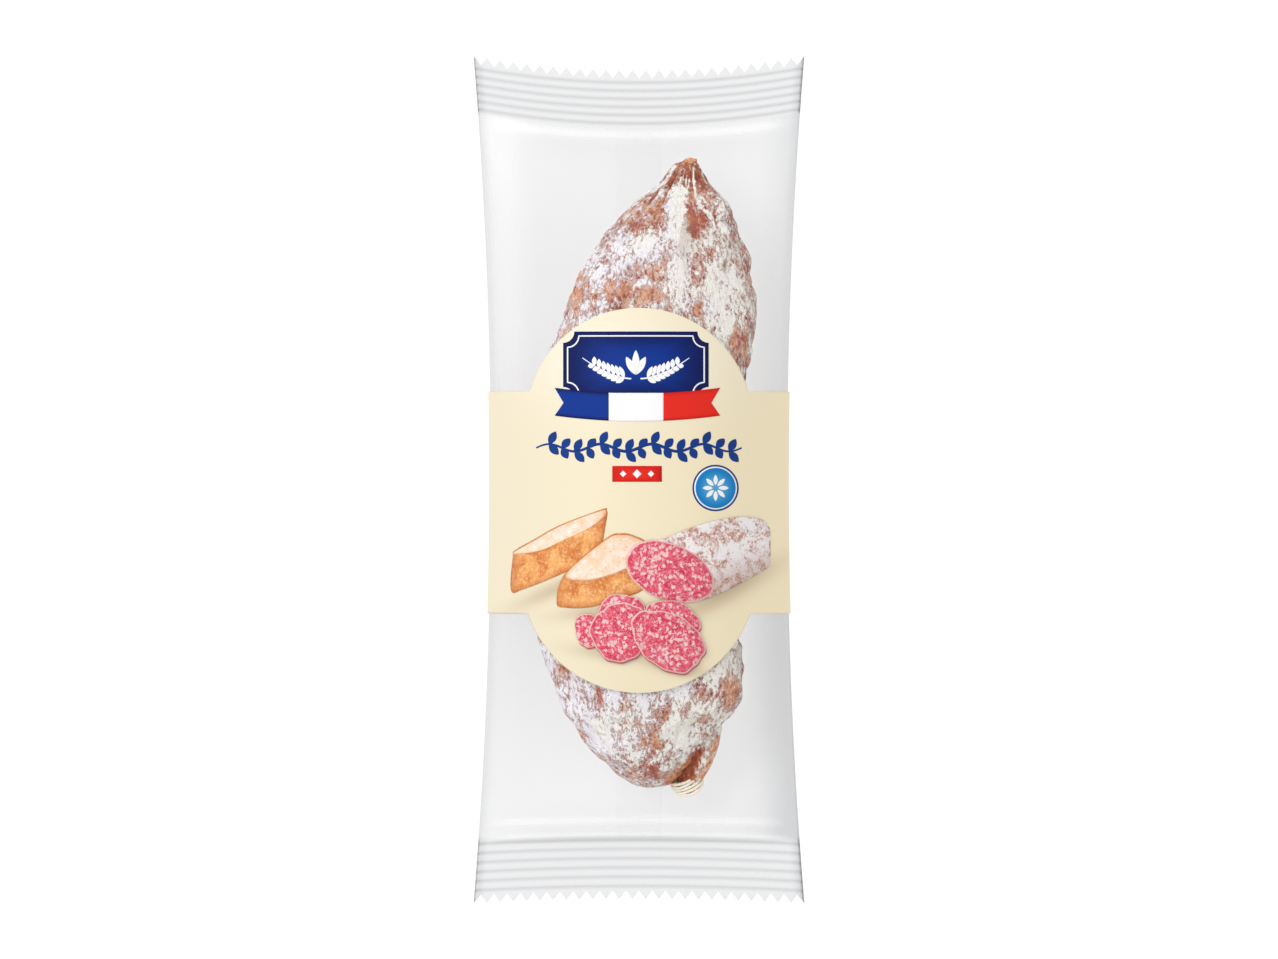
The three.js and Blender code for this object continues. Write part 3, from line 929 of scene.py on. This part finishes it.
def stringFinish():
    # pale twisted fibre, with painted shade in amber where the strands meet
    material, shader, places = newFinish("foodString", Roughness=0.85)
    fibre = places.stretch((3.0, 3.0, 3.0)).noise(1.0, 4.0, 0.7, 0.6)
    thread = fibre.step(0.35, 0.6).mix(paint(244, 232, 202), paint(255, 252, 242))
    # painted shade in an amber tone, in patches, on the sides where strands face each other
    strandShade = attribute(places, "shared").step(0.2, 0.95) * places.noise(0.7, 2.0).step(0.4, 0.62)
    feed(shader, "Base Color", strandShade.mix(thread, paint(186, 128, 72)))
    feed(shader, "Normal", (fibre * 0.0003).bump(0.8))
    return material


points, faces, shared = buildString()
marks = {"shared": shared}
string = addPiece("tieString", points, faces, stringFinish(), marks=marks, outward=True)
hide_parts("tie_string")
print("stage: string", len(faces), "faces")

# the label and what is printed on it
label = {
    "bandTop": 22.8,
    "bandBottom": -34.8,
    # each round part's middle along the pack and its radius
    "upper": (14.9, 29.4),
    "lower": (-24.4, 30.7),
    "wingReach": 14.0,
    "lift": 0.45,
    "wall": 0.12,
    "depth": 0.8,
    "glow": (-0.8, 29.5, 24.0, 11.8, 0.0, 0.95),
    # soft shadows: middle (x, y), reaches, lean in degrees and strength
    "shadows": [
        (-20.0, -27.6, 13.0, 2.2, 24.0, 0.42),
        (-9.0, -33.6, 12.0, 1.9, 8.0, 0.42),
        (22.0, -29.4, 16.0, 3.0, 28.0, 0.5),
        (-9.0, -45.0, 9.0, 1.8, -8.0, 0.34),
        (9.5, -48.6, 9.5, 1.8, -12.0, 0.36),
    ],
}


def printed(red, green, blue):
    # a printed colour, a little deeper than it looks under the bright studio light
    return (*(part * label["depth"] for part in rgb(red, green, blue)), 1.0)


def labelSkin(x, y, lift=0.0):
    # points lift above the label's face, over the plan points (x, y): the film's front, and outwards from
    # it grow sqrt(1 - across^2)
    grow = label["lift"] + lift
    wide = halfWidth(y) + grow
    across = np.clip(x / wide, -1, 1)
    level = frontLevel(across, y) + filmRelief(x, y) + grow * np.sqrt(1 - across**2)
    return np.stack([x, y, level], -1)


def labelWing(side, y, inner):
    # from the plan line x = inner out to the side edge, round it and in again underneath, as across =
    # cos(turn) on the film's front or back, and outwards from it grow sin(turn)
    grow = label["lift"]
    wide = halfWidth(y) + grow
    start = np.arccos(inner / wide)
    end = -np.arccos((film["waistHalf"] - label["wingReach"]) / wide)
    turn = start + (end - start) * np.linspace(0, 1, 64)[None, :] ** 0.8
    across, place = np.cos(turn), y + 0 * turn
    x = side * across * wide
    over = frontLevel(across, place) + filmRelief(x, place)
    level = np.where(turn > 0, over, backSurface(across, place)) + grow * np.sin(turn)
    points = np.stack([x, place, level], -1)
    return points if side > 0 else points[:, ::-1]


def buildLabel():
    # rows from side to side, as wide as a circle's chord in the two round parts, centre + radius (sin,
    # cos) of an angle, and a wing each side of the band
    caps = {}
    for name, edge in (("lower", "bandBottom"), ("upper", "bandTop")):
        centre, radius = label[name]
        sign = -1 if name == "lower" else 1
        start = math.asin(sign * (label[edge] - centre) / radius)
        angle = np.linspace(start, math.pi / 2, 60)
        caps[name] = (centre + sign * radius * np.sin(angle), radius * np.cos(angle))
    (lowerY, lowerWide), (upperY, upperWide) = caps["lower"], caps["upper"]
    bandY = np.linspace(label["bandBottom"], label["bandTop"], 100)
    bandWide = np.linspace(lowerWide[0], upperWide[0], 100)
    y = np.concatenate([lowerY[:0:-1], bandY, upperY[1:]])[:, None]
    wide = np.concatenate([lowerWide[:0:-1], bandWide, upperWide[1:]])[:, None]
    share = np.linspace(-1, 1, 110)[None, :]
    sheets = [labelSkin(share * wide, y + 0 * share)]
    sheets += [labelWing(side, bandY[:, None], bandWide[:, None]) for side in (-1, 1)]
    return mergeParts([(sheet.reshape(-1, 3), gridFaces(*sheet.shape[:2])) for sheet in sheets])


def softSpot(places, spot):
    # strength exp(-(u / reach)^2 - (v / depth)^2) on coordinates turned by the spot's lean
    x, y, reach, depth, lean, strength = spot
    turn = {"rotation_type": "Z_AXIS"}
    sockets = {"Vector": places, "Center": (x, y, 0.0), "Angle": -math.radians(lean)}
    turned = places.node("ShaderNodeVectorRotate", turn, sockets)
    u = (turned.part(0) - x) / reach
    v = (turned.part(1) - y) / depth
    return (0 - (u * u + v * v)).exponential() * strength


def labelFinish():
    # cream paper with painted light, darker on the left and paler on the right, paler round the plaque and
    # darker under each printed piece of food
    material, shader, places = newFinish("creamLabel", Roughness=0.55, Specular_IOR_Level=0.3)
    glow = softSpot(places, label["glow"])
    # painted light: the paper runs darker on the left and paler on the right
    ground = places.part(0).step(-45, 45).mix(printed(235, 224, 197), printed(255, 240, 202))
    cream = glow.mix(ground, printed(250, 243, 228))
    for spot in label["shadows"]:
        cream = softSpot(places, spot).mix(cream, printed(150, 112, 74))
    feed(shader, "Base Color", cream)
    fibre = places.noise(0.9, 3.0, 0.6)
    feed(shader, "Normal", (fibre * 0.00004).bump(0.5))
    return material


def weld(piece):
    # joins points that share a place, to a thousandth of a millimetre
    work = bmesh.new()
    work.from_mesh(piece.data)
    bmesh.ops.remove_doubles(work, verts=work.verts, dist=0.001 * metre)
    work.to_mesh(piece.data)
    work.free()
    piece.data.shade_smooth()


points, faces = buildLabel()
paper = addPiece("paperLabel", points, faces, labelFinish(), wall=label["wall"])
weld(paper)
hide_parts("label")
print("stage: label", len(faces), "faces")


def closedCurve(stations, each=8):
    # a closed curve through plan points: cubic pieces whose slope at a point is half the step between its
    # neighbours, each cut into the same number of steps
    table = np.asarray(stations, float)
    before, after, later = np.roll(table, 1, 0), np.roll(table, -1, 0), np.roll(table, -2, 0)
    t = np.arange(each)[None, :, None] / each
    start, end = (after - before)[:, None] / 2, (later - table)[:, None] / 2
    curve = (2 * t**3 - 3 * t**2 + 1) * table[:, None] + (t**3 - 2 * t**2 + t) * start
    curve = curve + (3 * t**2 - 2 * t**3) * after[:, None] + (t**3 - t**2) * end
    return curve.reshape(-1, 2)


def turned(plan, angle):
    # plan points (x cos - y sin, x sin + y cos)
    c, s = math.cos(angle), math.sin(angle)
    return plan @ np.array([(c, s), (-s, c)])


def oval(middle, reach, lean=0.0, count=72, wobble=0.0, seed=0):
    # middle + turned (a cos t, b sin t) (1 + wobble (sin 3t + 0.6 sin 5t + 0.4 sin 11t))
    t = np.linspace(0, 2 * np.pi, count, endpoint=False)
    uneven = np.sin(3 * t + seed) + 0.6 * np.sin(5 * t + 2.3 * seed) + 0.4 * np.sin(11 * t + 3.1 * seed)
    plan = np.stack([reach[0] * np.cos(t), reach[1] * np.sin(t)], -1) * (1 + wobble * uneven)[:, None]
    return middle + turned(plan, math.radians(lean))


def patch(outline, middle, lift, rings=10):
    # a printed area: rings middle + out (outline - middle), with out from 1 down to 0, laid on the label;
    # the third result is each point's out
    outline, middle = np.asarray(outline, float), np.asarray(middle, float)
    area = np.cross(outline, np.roll(outline, -1, 0)).sum()
    outline = outline if area > 0 else outline[::-1]
    out = (1 - np.linspace(0, 1, rings, endpoint=False))[:, None, None]
    plan = middle + out * (outline - middle)[None]
    plan = np.concatenate([plan.reshape(-1, 2), middle[None]])
    count = len(outline)
    innermost = (rings - 1) * count + np.arange(count)
    faces = gridFaces(rings, count, closed=True) + fan(innermost, rings * count).tolist()
    rim = np.concatenate([np.repeat(out.ravel(), count), [0.0]])
    return labelSkin(plan[:, 0], plan[:, 1], lift), faces, rim


def strip(line, wide, lift, columns=3):
    # a printed line along plan points: line + share wide side, with side square to the line
    line = np.asarray(line, float)
    heading = np.gradient(line, axis=0)
    heading /= np.linalg.norm(heading, axis=1)[:, None]
    side = np.stack([heading[:, 1], -heading[:, 0]], -1)
    wide = np.broadcast_to(np.asarray(wide, float), (len(line),))
    share = np.linspace(-0.5, 0.5, columns)
    plan = line[:, None] + (share[None, :] * wide[:, None])[..., None] * side[:, None]
    plan = plan.reshape(-1, 2)
    return labelSkin(plan[:, 0], plan[:, 1], lift), gridFaces(len(line), columns), np.zeros(len(plan))


def printPiece(name, parts, material, wall=0.03):
    # patches and strips of one ink as one piece, a thin wall thick
    rims = np.concatenate([part[2] for part in parts])
    points, faces = mergeParts([part[:2] for part in parts])
    return addPiece(name, points, faces, material, marks={"rim": rims}, wall=wall)


def inkFinish(name, ink, edge=None):
    # one ink, or an ink that turns towards edge at the rim
    material, shader, places = newFinish(name, Roughness=0.6, Specular_IOR_Level=0.1)
    dots = places.noise(3.0, 2.0)
    lighter = tuple(min(1.0, part * 1.06 + 0.002) for part in ink[:3]) + (1.0,)
    tone = dots.mix(ink, lighter)
    if edge:
        tone = attribute(places, "rim").step(0.25, 1.0).mix(tone, edge)
    feed(shader, "Base Color", tone)
    return material


navy = inkFinish("navyInk", printed(9, 52, 142), printed(12, 25, 84))
flatNavy = inkFinish("flatNavyInk", printed(18, 58, 134))
white = inkFinish("whiteInk", printed(250, 250, 252))
red = inkFinish("redInk", printed(232, 44, 32), printed(214, 30, 24))
skyBlue = inkFinish("skyBlueInk", printed(84, 168, 216), printed(10, 128, 200))
rindInk = inkFinish("rindInk", printed(238, 176, 176), printed(206, 110, 116))

plaque = {
    "middle": (-0.8, 29.6),
    "half": (18.8, 8.6),
    "notch": 2.9,
    "line": 0.36,
    "lineInset": 1.15,
    "lift": 0.04,
    # each stem starts at (1.2, -3.6) from the middle and runs this far out and up
    "stemStart": (1.2, -3.6),
    "stemReach": (12.6, 5.4),
    "stemLeaves": 7,
    "leafHalf": 0.62,
    "crestRoot": (0.0, -2.6),
    "crestHalf": 0.95,
}


def ticketOutline(half, notch, each=14):
    # a rectangle whose four corners are cut by quarter circles about the corner points
    t = np.linspace(0, np.pi / 2, each)
    bite = np.stack([half[0] - notch * np.sin(t), half[1] - notch * np.cos(t)], -1)[::-1]
    right = np.linspace(-1, 1, 20, endpoint=False)[1:, None] * (0, half[1] - notch) + (half[0], 0)
    top = np.linspace(1, -1, 40, endpoint=False)[1:, None] * (half[0] - notch, 0) + (0, half[1])
    quarter = np.concatenate([right[right[:, 1] > 0], bite[::-1], top[top[:, 0] > 0]])
    both = np.concatenate([quarter, (quarter * (-1, 1))[::-1]])
    return np.concatenate([both, both * (-1, -1)])


def leafOutline(root, heading, length, wide):
    # a pointed leaf: half width = wide sin(pi s)^0.8 over its length
    s = np.linspace(0, 1, 14)
    half = wide * np.sin(np.pi * s) ** 0.8
    along = np.concatenate([s, s[-2:0:-1]]) * length
    across = np.concatenate([half, -half[-2:0:-1]])
    return root + turned(np.stack([along, across], -1), heading)


def leafPatch(root, heading, length, wide, lift):
    # a leaf as a printed area
    outline = leafOutline(root, heading, length, wide)
    return patch(outline, outline.mean(0), lift, 4)


def buildPlaque():
    # a plain ticket with a line inside its edge, two sprigs and a crest of three leaves. A stem is (start
    # + reach s, start + reach s^1.7), and its leaves come in pairs that shorten towards the tip. Leaves
    # from one root lie at slightly different levels
    middle = np.array(plaque["middle"])
    ground = patch(ticketOutline(plaque["half"], plaque["notch"]) + middle, middle, plaque["lift"], 16)
    printPiece("plaqueGround", [ground], navy)
    inset = [side - plaque["lineInset"] for side in plaque["half"]]
    line = ticketOutline(inset, plaque["notch"]) + middle
    parts = [strip(np.concatenate([line, line[:1]]), plaque["line"], plaque["lift"] + 0.04)]
    startX, startY = plaque["stemStart"]
    reachX, reachY = plaque["stemReach"]
    s = np.linspace(0, 1, 30)
    for side in (-1, 1):
        stem = middle + np.stack([side * (startX + reachX * s), startY + reachY * s**1.7], -1)
        parts.append(strip(stem, 0.42 - 0.2 * s, plaque["lift"] + 0.04))
        for i in range(plaque["stemLeaves"]):
            heading = math.atan2(0.32 + 0.1 * i, side)
            for turn, length in ((0.85, 3.3), (-0.8, 2.6)):
                raised = plaque["lift"] + 0.05 + 0.005 * (turn > 0)
                leaf = (heading + side * turn, length - 0.16 * i, plaque["leafHalf"], raised)
                parts.append(leafPatch(stem[4 + 3 * i], *leaf))
    for turn in (-0.5, 0, 0.5):
        raised = plaque["lift"] + 0.055 + 0.01 * turn
        leaf = (math.pi / 2 + turn, 6.4 - 2.2 * abs(turn), plaque["crestHalf"], raised)
        parts.append(leafPatch(middle + plaque["crestRoot"], *leaf))
    weld(printPiece("plaqueSprigs", parts, white))


banner = {
    "half": (21.4, 3.6),
    "middle": (-0.4, 18.6),
    "bow": 1.5,
    "cuts": (-7.4, 6.7),
    "notch": 2.3,
    "lift": 0.1,
}


def buildBanner():
    # a straight banner in three parts, y = middle + bow (x / half)^2 + half v, whose outer ends are cut
    # back by notch (1 - |v|) as forks
    half, (middleX, middleY) = banner["half"], banner["middle"]
    cuts = [-half[0], *banner["cuts"], half[0]]
    share = np.linspace(0, 1, 40)[:, None]
    v = np.linspace(1, -1, 15)[None, :]
    fork = banner["notch"] * (1 - np.abs(v))
    for name, ink, low, high in zip(("Blue", "White", "Red"), (navy, white, red), cuts, cuts[1:]):
        x = low + (high - low) * share + 0 * v
        if name == "Blue":
            x = x + fork * (1 - share)
        if name == "Red":
            x = x - fork * share
        y = middleY + banner["bow"] * (x / half[0]) ** 2 + half[1] * v
        points = labelSkin((x + middleX).ravel(), y.ravel(), banner["lift"])
        rim = (np.abs(v) ** 3 + 0 * x).ravel()
        printPiece("banner" + name, [(points, gridFaces(*x.shape), rim)], ink)


flourish = {"half": 26.6, "middle": 8.2, "wave": 0.95, "period": 13.3, "lift": 0.04}


def buildFlourish():
    # a vine on y = middle + wave sin(2 pi x / period), with two leaves and a berry at every quarter period
    x = np.linspace(-flourish["half"], flourish["half"], 160)
    phase = 2 * np.pi / flourish["period"]
    y = flourish["middle"] + flourish["wave"] * np.sin(phase * x)
    parts = [strip(np.stack([x, y], -1), 0.8 - 0.4 * (np.abs(x) / flourish["half"]) ** 2, flourish["lift"])]
    for i in range(-7, 8):
        odd = i % 2
        atX = i * flourish["period"] / 4
        at = np.array([atX, flourish["middle"] + flourish["wave"] * math.sin(phase * atX)])
        for side in (1, -1):
            heading = side * 0.95 + (0.12 if odd else -0.12)
            parts.append(leafPatch(at, heading, 3.7 if odd else 3.2, 1.05, flourish["lift"] + 0.01))
        berry = at + (1.9, -1.7 if odd else 1.7)
        parts.append(patch(oval(berry, (0.4, 0.4), count=16), berry, flourish["lift"], 3))
    printPiece("flourish", parts, flatNavy)


redBox = {
    "middle": (-0.5, 1.45),
    "half": (6.4, 2.05),
    "markPitch": 3.6,
    "markHalves": (0.85, 1.15, 0.85),
    "lift": 0.04,
}


def edged(corners, steps):
    # a polygon's outline with each side cut into steps: corner + (next corner - corner) t
    corners = np.asarray(corners, float)
    t = np.linspace(0, 1, steps, endpoint=False)[None, :, None]
    return (corners[:, None] + (np.roll(corners, -1, 0) - corners)[:, None] * t).reshape(-1, 2)


def buildRedBox():
    # a plain red box with a row of three white lozenges
    middle, (halfX, halfY) = np.array(redBox["middle"]), redBox["half"]
    box = edged([(-halfX, -halfY), (halfX, -halfY), (halfX, halfY), (-halfX, halfY)], 24)
    printPiece("redBox", [patch(box + middle, middle, redBox["lift"], 6)], red)
    marks = []
    for i, half in zip((-1, 0, 1), redBox["markHalves"]):
        centre = middle + (redBox["markPitch"] * i, 0)
        lozenge = edged([(half, 0), (0, half), (-half, 0), (0, -half)], 5)
        marks.append(patch(lozenge + centre, centre, redBox["lift"] + 0.05, 3))
    printPiece("redBoxMarks", marks, white)


roundel = {"middle": (19.8, -2.2), "radii": (6.0, 5.55, 5.2), "petals": 8, "lift": 0.04}


def buildRoundel():
    # three discs one on another, each smaller, and petals about the middle at 2 pi i / petals
    middle, radii = roundel["middle"], roundel["radii"]
    for k, (name, ink) in enumerate((("Ring", flatNavy), ("Line", white), ("Field", skyBlue))):
        disc = patch(oval(middle, (radii[k], radii[k])), middle, roundel["lift"] + 0.04 * k, 8)
        printPiece("roundel" + name, [disc], ink)
    petals = []
    for heading in np.linspace(0, 2 * np.pi, roundel["petals"], endpoint=False):
        root = np.array(middle) + (0.7 * math.cos(heading), 0.7 * math.sin(heading))
        petals.append(leafPatch(root, heading, 2.7, 0.55, roundel["lift"] + 0.13))
    printPiece("roundelPetals", petals, white)


buildPlaque()
buildBanner()
buildFlourish()
buildRedBox()
buildRoundel()
print("stage: label print")

# the serving picture: bread, a cut sausage and slices
breadOne = {
    "crust": [
        (-32.7, -19.9), (-33.2, -28.7), (-29.8, -28.4), (-19.7, -24.3), (-10.9, -19.6), (-8.4, -10.6),
        (-8.3, -7.9), (-9.6, -7.7), (-20.3, -11.7), (-26.9, -15.3), (-32.1, -18.3),
    ],
    "crumb": [
        (-32.4, -19.4), (-25.5, -18.4), (-19.2, -15.5), (-13.3, -12.8), (-9.4, -10.0),
        (-8.5, -8.2), (-10.0, -8.1), (-20.3, -12.0), (-26.9, -15.7), (-31.9, -18.5),
    ],
}
breadTwo = {
    "crust": [
        (-21.3, -31.8), (-19.0, -33.1), (-12.3, -32.9), (-4.9, -30.6), (1.0, -28.4), (4.5, -22.0),
        (2.1, -16.5), (-0.9, -14.6), (-4.3, -13.9), (-8.6, -15.2), (-19.2, -24.4),
    ],
    "crumb": [
        (-18.9, -24.6), (-13.6, -26.1), (-7.0, -24.5), (-3.8, -23.2), (1.0, -21.0),
        (2.1, -16.9), (-0.9, -15.0), (-4.3, -14.3), (-8.6, -15.6),
    ],
}
cutLog = {
    "body": [
        (2.6, -17.2), (7.5, -14.9), (12.0, -13.0), (17.3, -11.3), (22.5, -10.1), (27.4, -9.6),
        (31.9, -10.4), (33.8, -12.4), (34.1, -14.5), (34.1, -18.0), (34.1, -21.5), (33.4, -22.9),
        (28.0, -26.0), (22.1, -28.9), (15.9, -31.2), (12.0, -30.0), (4.0, -25.0),
    ],
    "bodyMiddle": (18.0, -20.5),
    # the cut face's middle, reaches and lean
    "face": ((7.9, -23.9), (12.0, 7.3), -22.0),
}
# each slice's name, middle, reaches and lean in degrees, from the lowest up
slices = [
    ("sliceFar", (-13.2, -38.9), (3.4, 4.4), 10.0),
    ("sliceBehind", (-4.6, -34.2), (6.2, 4.6), 8.0),
    ("sliceRight", (8.6, -35.8), (7.6, 4.3), -16.0),
    ("sliceMiddle", (-5.0, -39.3), (7.3, 7.8), -28.0),
    ("sliceFront", (7.5, -41.6), (10.3, 7.0), -33.0),
]


def crustFinish():
    # baked brown in slow patches, with pale and dark flecks, and darker at the rim
    material, shader, places = newFinish("breadCrustPrint", Roughness=0.5, Specular_IOR_Level=0.3)
    broad = places.noise(0.24, 4.0, 0.65, 0.4)
    fine = places.noise(1.3, 3.0, 0.7)
    tone = broad.step(0.36, 0.62).mix(printed(214, 122, 50), printed(246, 178, 104))
    tone = (fine.step(0.5, 0.68) * 0.6).mix(tone, printed(253, 218, 170))
    tone = (fine.step(0.46, 0.34) * 0.4).mix(tone, printed(196, 100, 38))
    rim = attribute(places, "rim").step(0.7, 1.0) * 0.55
    feed(shader, "Base Color", rim.mix(tone, printed(200, 104, 42)))
    return material


def crumbFinish():
    # cream crumb with pores, and a baked line at the rim
    material, shader, places = newFinish("breadCrumbPrint", Roughness=0.55, Specular_IOR_Level=0.3)
    pores = places.stretch((1.0, 1.6, 1.0)).cells(0.9)
    broad = places.noise(0.35, 3.0)
    tone = broad.step(0.35, 0.65).mix(printed(253, 234, 218), printed(249, 212, 176))
    tone = (pores.step(0.42, 0.12) * 0.55).mix(tone, printed(232, 172, 124))
    rim = attribute(places, "rim").step(0.86, 1.0) * 0.6
    feed(shader, "Base Color", rim.mix(tone, printed(240, 178, 118)))
    return material


def salamiFinish():
    # red lean crowded with rounded pale pieces of fat in two sizes, a darker ring and a pale rind at the
    # rim
    material, shader, places = newFinish("salamiPrint", Roughness=0.5, Specular_IOR_Level=0.3)
    warped = places.noise(0.9, 4.0, 0.7, out=1).stretch((2.2, 2.2, 2.2), places)
    broad = places.noise(0.45, 3.0, 0.6, 0.5)
    lean = broad.step(0.35, 0.65).mix(printed(208, 40, 76), printed(240, 100, 120))
    lean = warped.noise(1.7, 3.0, 0.7).step(0.45, 0.6).mix(lean, printed(222, 56, 88))
    small = warped.cells(2.1).step(0.62, 0.38) * warped.cells(2.1, 1).part(1).step(0.34, 0.46)
    lean = (small * 0.62).mix(lean, printed(246, 170, 182))
    big = warped.cells(1.05).step(0.62, 0.4) * warped.cells(1.05, 1).part(0).step(0.42, 0.54)
    lean = (big * 0.85).mix(lean, printed(252, 218, 218))
    rim = attribute(places, "rim")
    lean = (rim.step(0.7, 0.95) * 0.3).mix(lean, printed(206, 44, 70))
    feed(shader, "Base Color", (rim.step(0.94, 0.975) * 0.8).mix(lean, printed(248, 212, 204)))
    return material


def logFinish():
    # bloomed casing seen from the side: lit along the top, darker and browner below
    material, shader, places = newFinish("logCasingPrint", Roughness=0.5, Specular_IOR_Level=0.3)
    lean = math.radians(21)
    over = places.part(1) * math.cos(lean) - places.part(0) * math.sin(lean)
    broad = places.stretch((0.6, 1.0, 1.0)).noise(0.3, 5.0, 0.7, 0.5)
    fine = places.noise(1.4, 4.0, 0.7)
    bloom = (broad * 0.8 + fine * 0.5).step(0.54, 0.7)
    casing = fine.step(0.35, 0.65).mix(printed(186, 130, 112), printed(222, 178, 160))
    skin = bloom.mix(casing, printed(250, 244, 244))
    low = over.step(-25.5, -34.0) * 0.45
    feed(shader, "Base Color", low.mix(skin, printed(168, 122, 100)))
    return material


def buildServing():
    # each printed piece lies a little above the one before, so that it overlaps it
    crust, crumb, meat = crustFinish(), crumbFinish(), salamiFinish()
    lift = 0.05
    for name, bread in (("breadOne", breadOne), ("breadTwo", breadTwo)):
        for part, finish in (("crust", crust), ("crumb", crumb)):
            area = patch(closedCurve(bread[part]), np.mean(bread[part], 0), lift, 12)
            printPiece(name + part.capitalize(), [area], finish)
            lift += 0.05
    printPiece("logBody", [patch(closedCurve(cutLog["body"]), cutLog["bodyMiddle"], lift, 14)], logFinish())
    middle, reach, lean = cutLog["face"]
    printPiece("logFace", [patch(oval(middle, reach, lean, 90, 0.012, 1), middle, lift + 0.05, 12)], meat)
    lift += 0.1
    for i, (name, middle, reach, lean) in enumerate(slices):
        # the rind is the face's own outline, a little lower
        outline = oval(middle, reach, lean, 96, 0.042, i + 1)
        printPiece(name + "Side", [patch(outline + (0.15, -0.4), middle, lift, 8)], rindInk)
        printPiece(name, [patch(outline, middle, lift + 0.04, 12)], meat)
        lift += 0.08


buildServing()
print("stage: serving picture")

# floor, lights and background light, in metres and watts
light = {
    "floorHalf": 15.0,
    "world": 0.9,
    "key": {"place": (-2.1, 1.3, 2.5), "size": 2.4, "power": 66.0},
    "rim": {"place": (1.8, -1.2, 2.2), "size": 1.6, "power": 3.0},
}
world = bpy.data.worlds.new("world")
world.use_nodes = True
background = world.node_tree.nodes["Background"]
background.inputs["Color"].default_value = (1.0, 1.0, 1.0, 1.0)
background.inputs["Strength"].default_value = light["world"]
bpy.context.scene.world = world
bpy.context.scene.view_settings.view_transform = "Standard"
for name in ("key", "rim"):
    lamp = bpy.data.lights.new(name, "AREA")
    lamp.shape = "DISK"
    lamp.size = light[name]["size"]
    lamp.energy = light[name]["power"]
    lampObject = bpy.data.objects.new(name, lamp)
    lampObject.location = light[name]["place"]
    # a lamp shines down its own z axis, so it is tipped, then turned, until that axis passes through the
    # origin
    aim = -np.array(light[name]["place"])
    tip = math.acos(-aim[2] / np.linalg.norm(aim))
    lampObject.rotation_euler = (tip, 0.0, math.atan2(aim[1], aim[0]) - math.pi / 2)
    bpy.context.scene.collection.objects.link(lampObject)

# a floor that glows evenly, as a light table does
corners = [(-1, -1, 0), (1, -1, 0), (1, 1, 0), (-1, 1, 0)]
floorMesh = bpy.data.meshes.new("floor")
floorMesh.from_pydata((np.array(corners) * light["floorHalf"]).tolist(), [], [(0, 1, 2, 3)])
glow = {"Emission_Color": (1.0, 1.0, 1.0, 1.0), "Emission_Strength": 1.0}
pale = newFinish("paleFloor", Base_Color=(0.05, 0.05, 0.05, 1.0), Roughness=0.9, **glow)[0]
floorMesh.materials.append(pale)
floor = bpy.data.objects.new("floor", floorMesh)
bpy.context.scene.collection.objects.link(floor)
print("stage: light and floor")
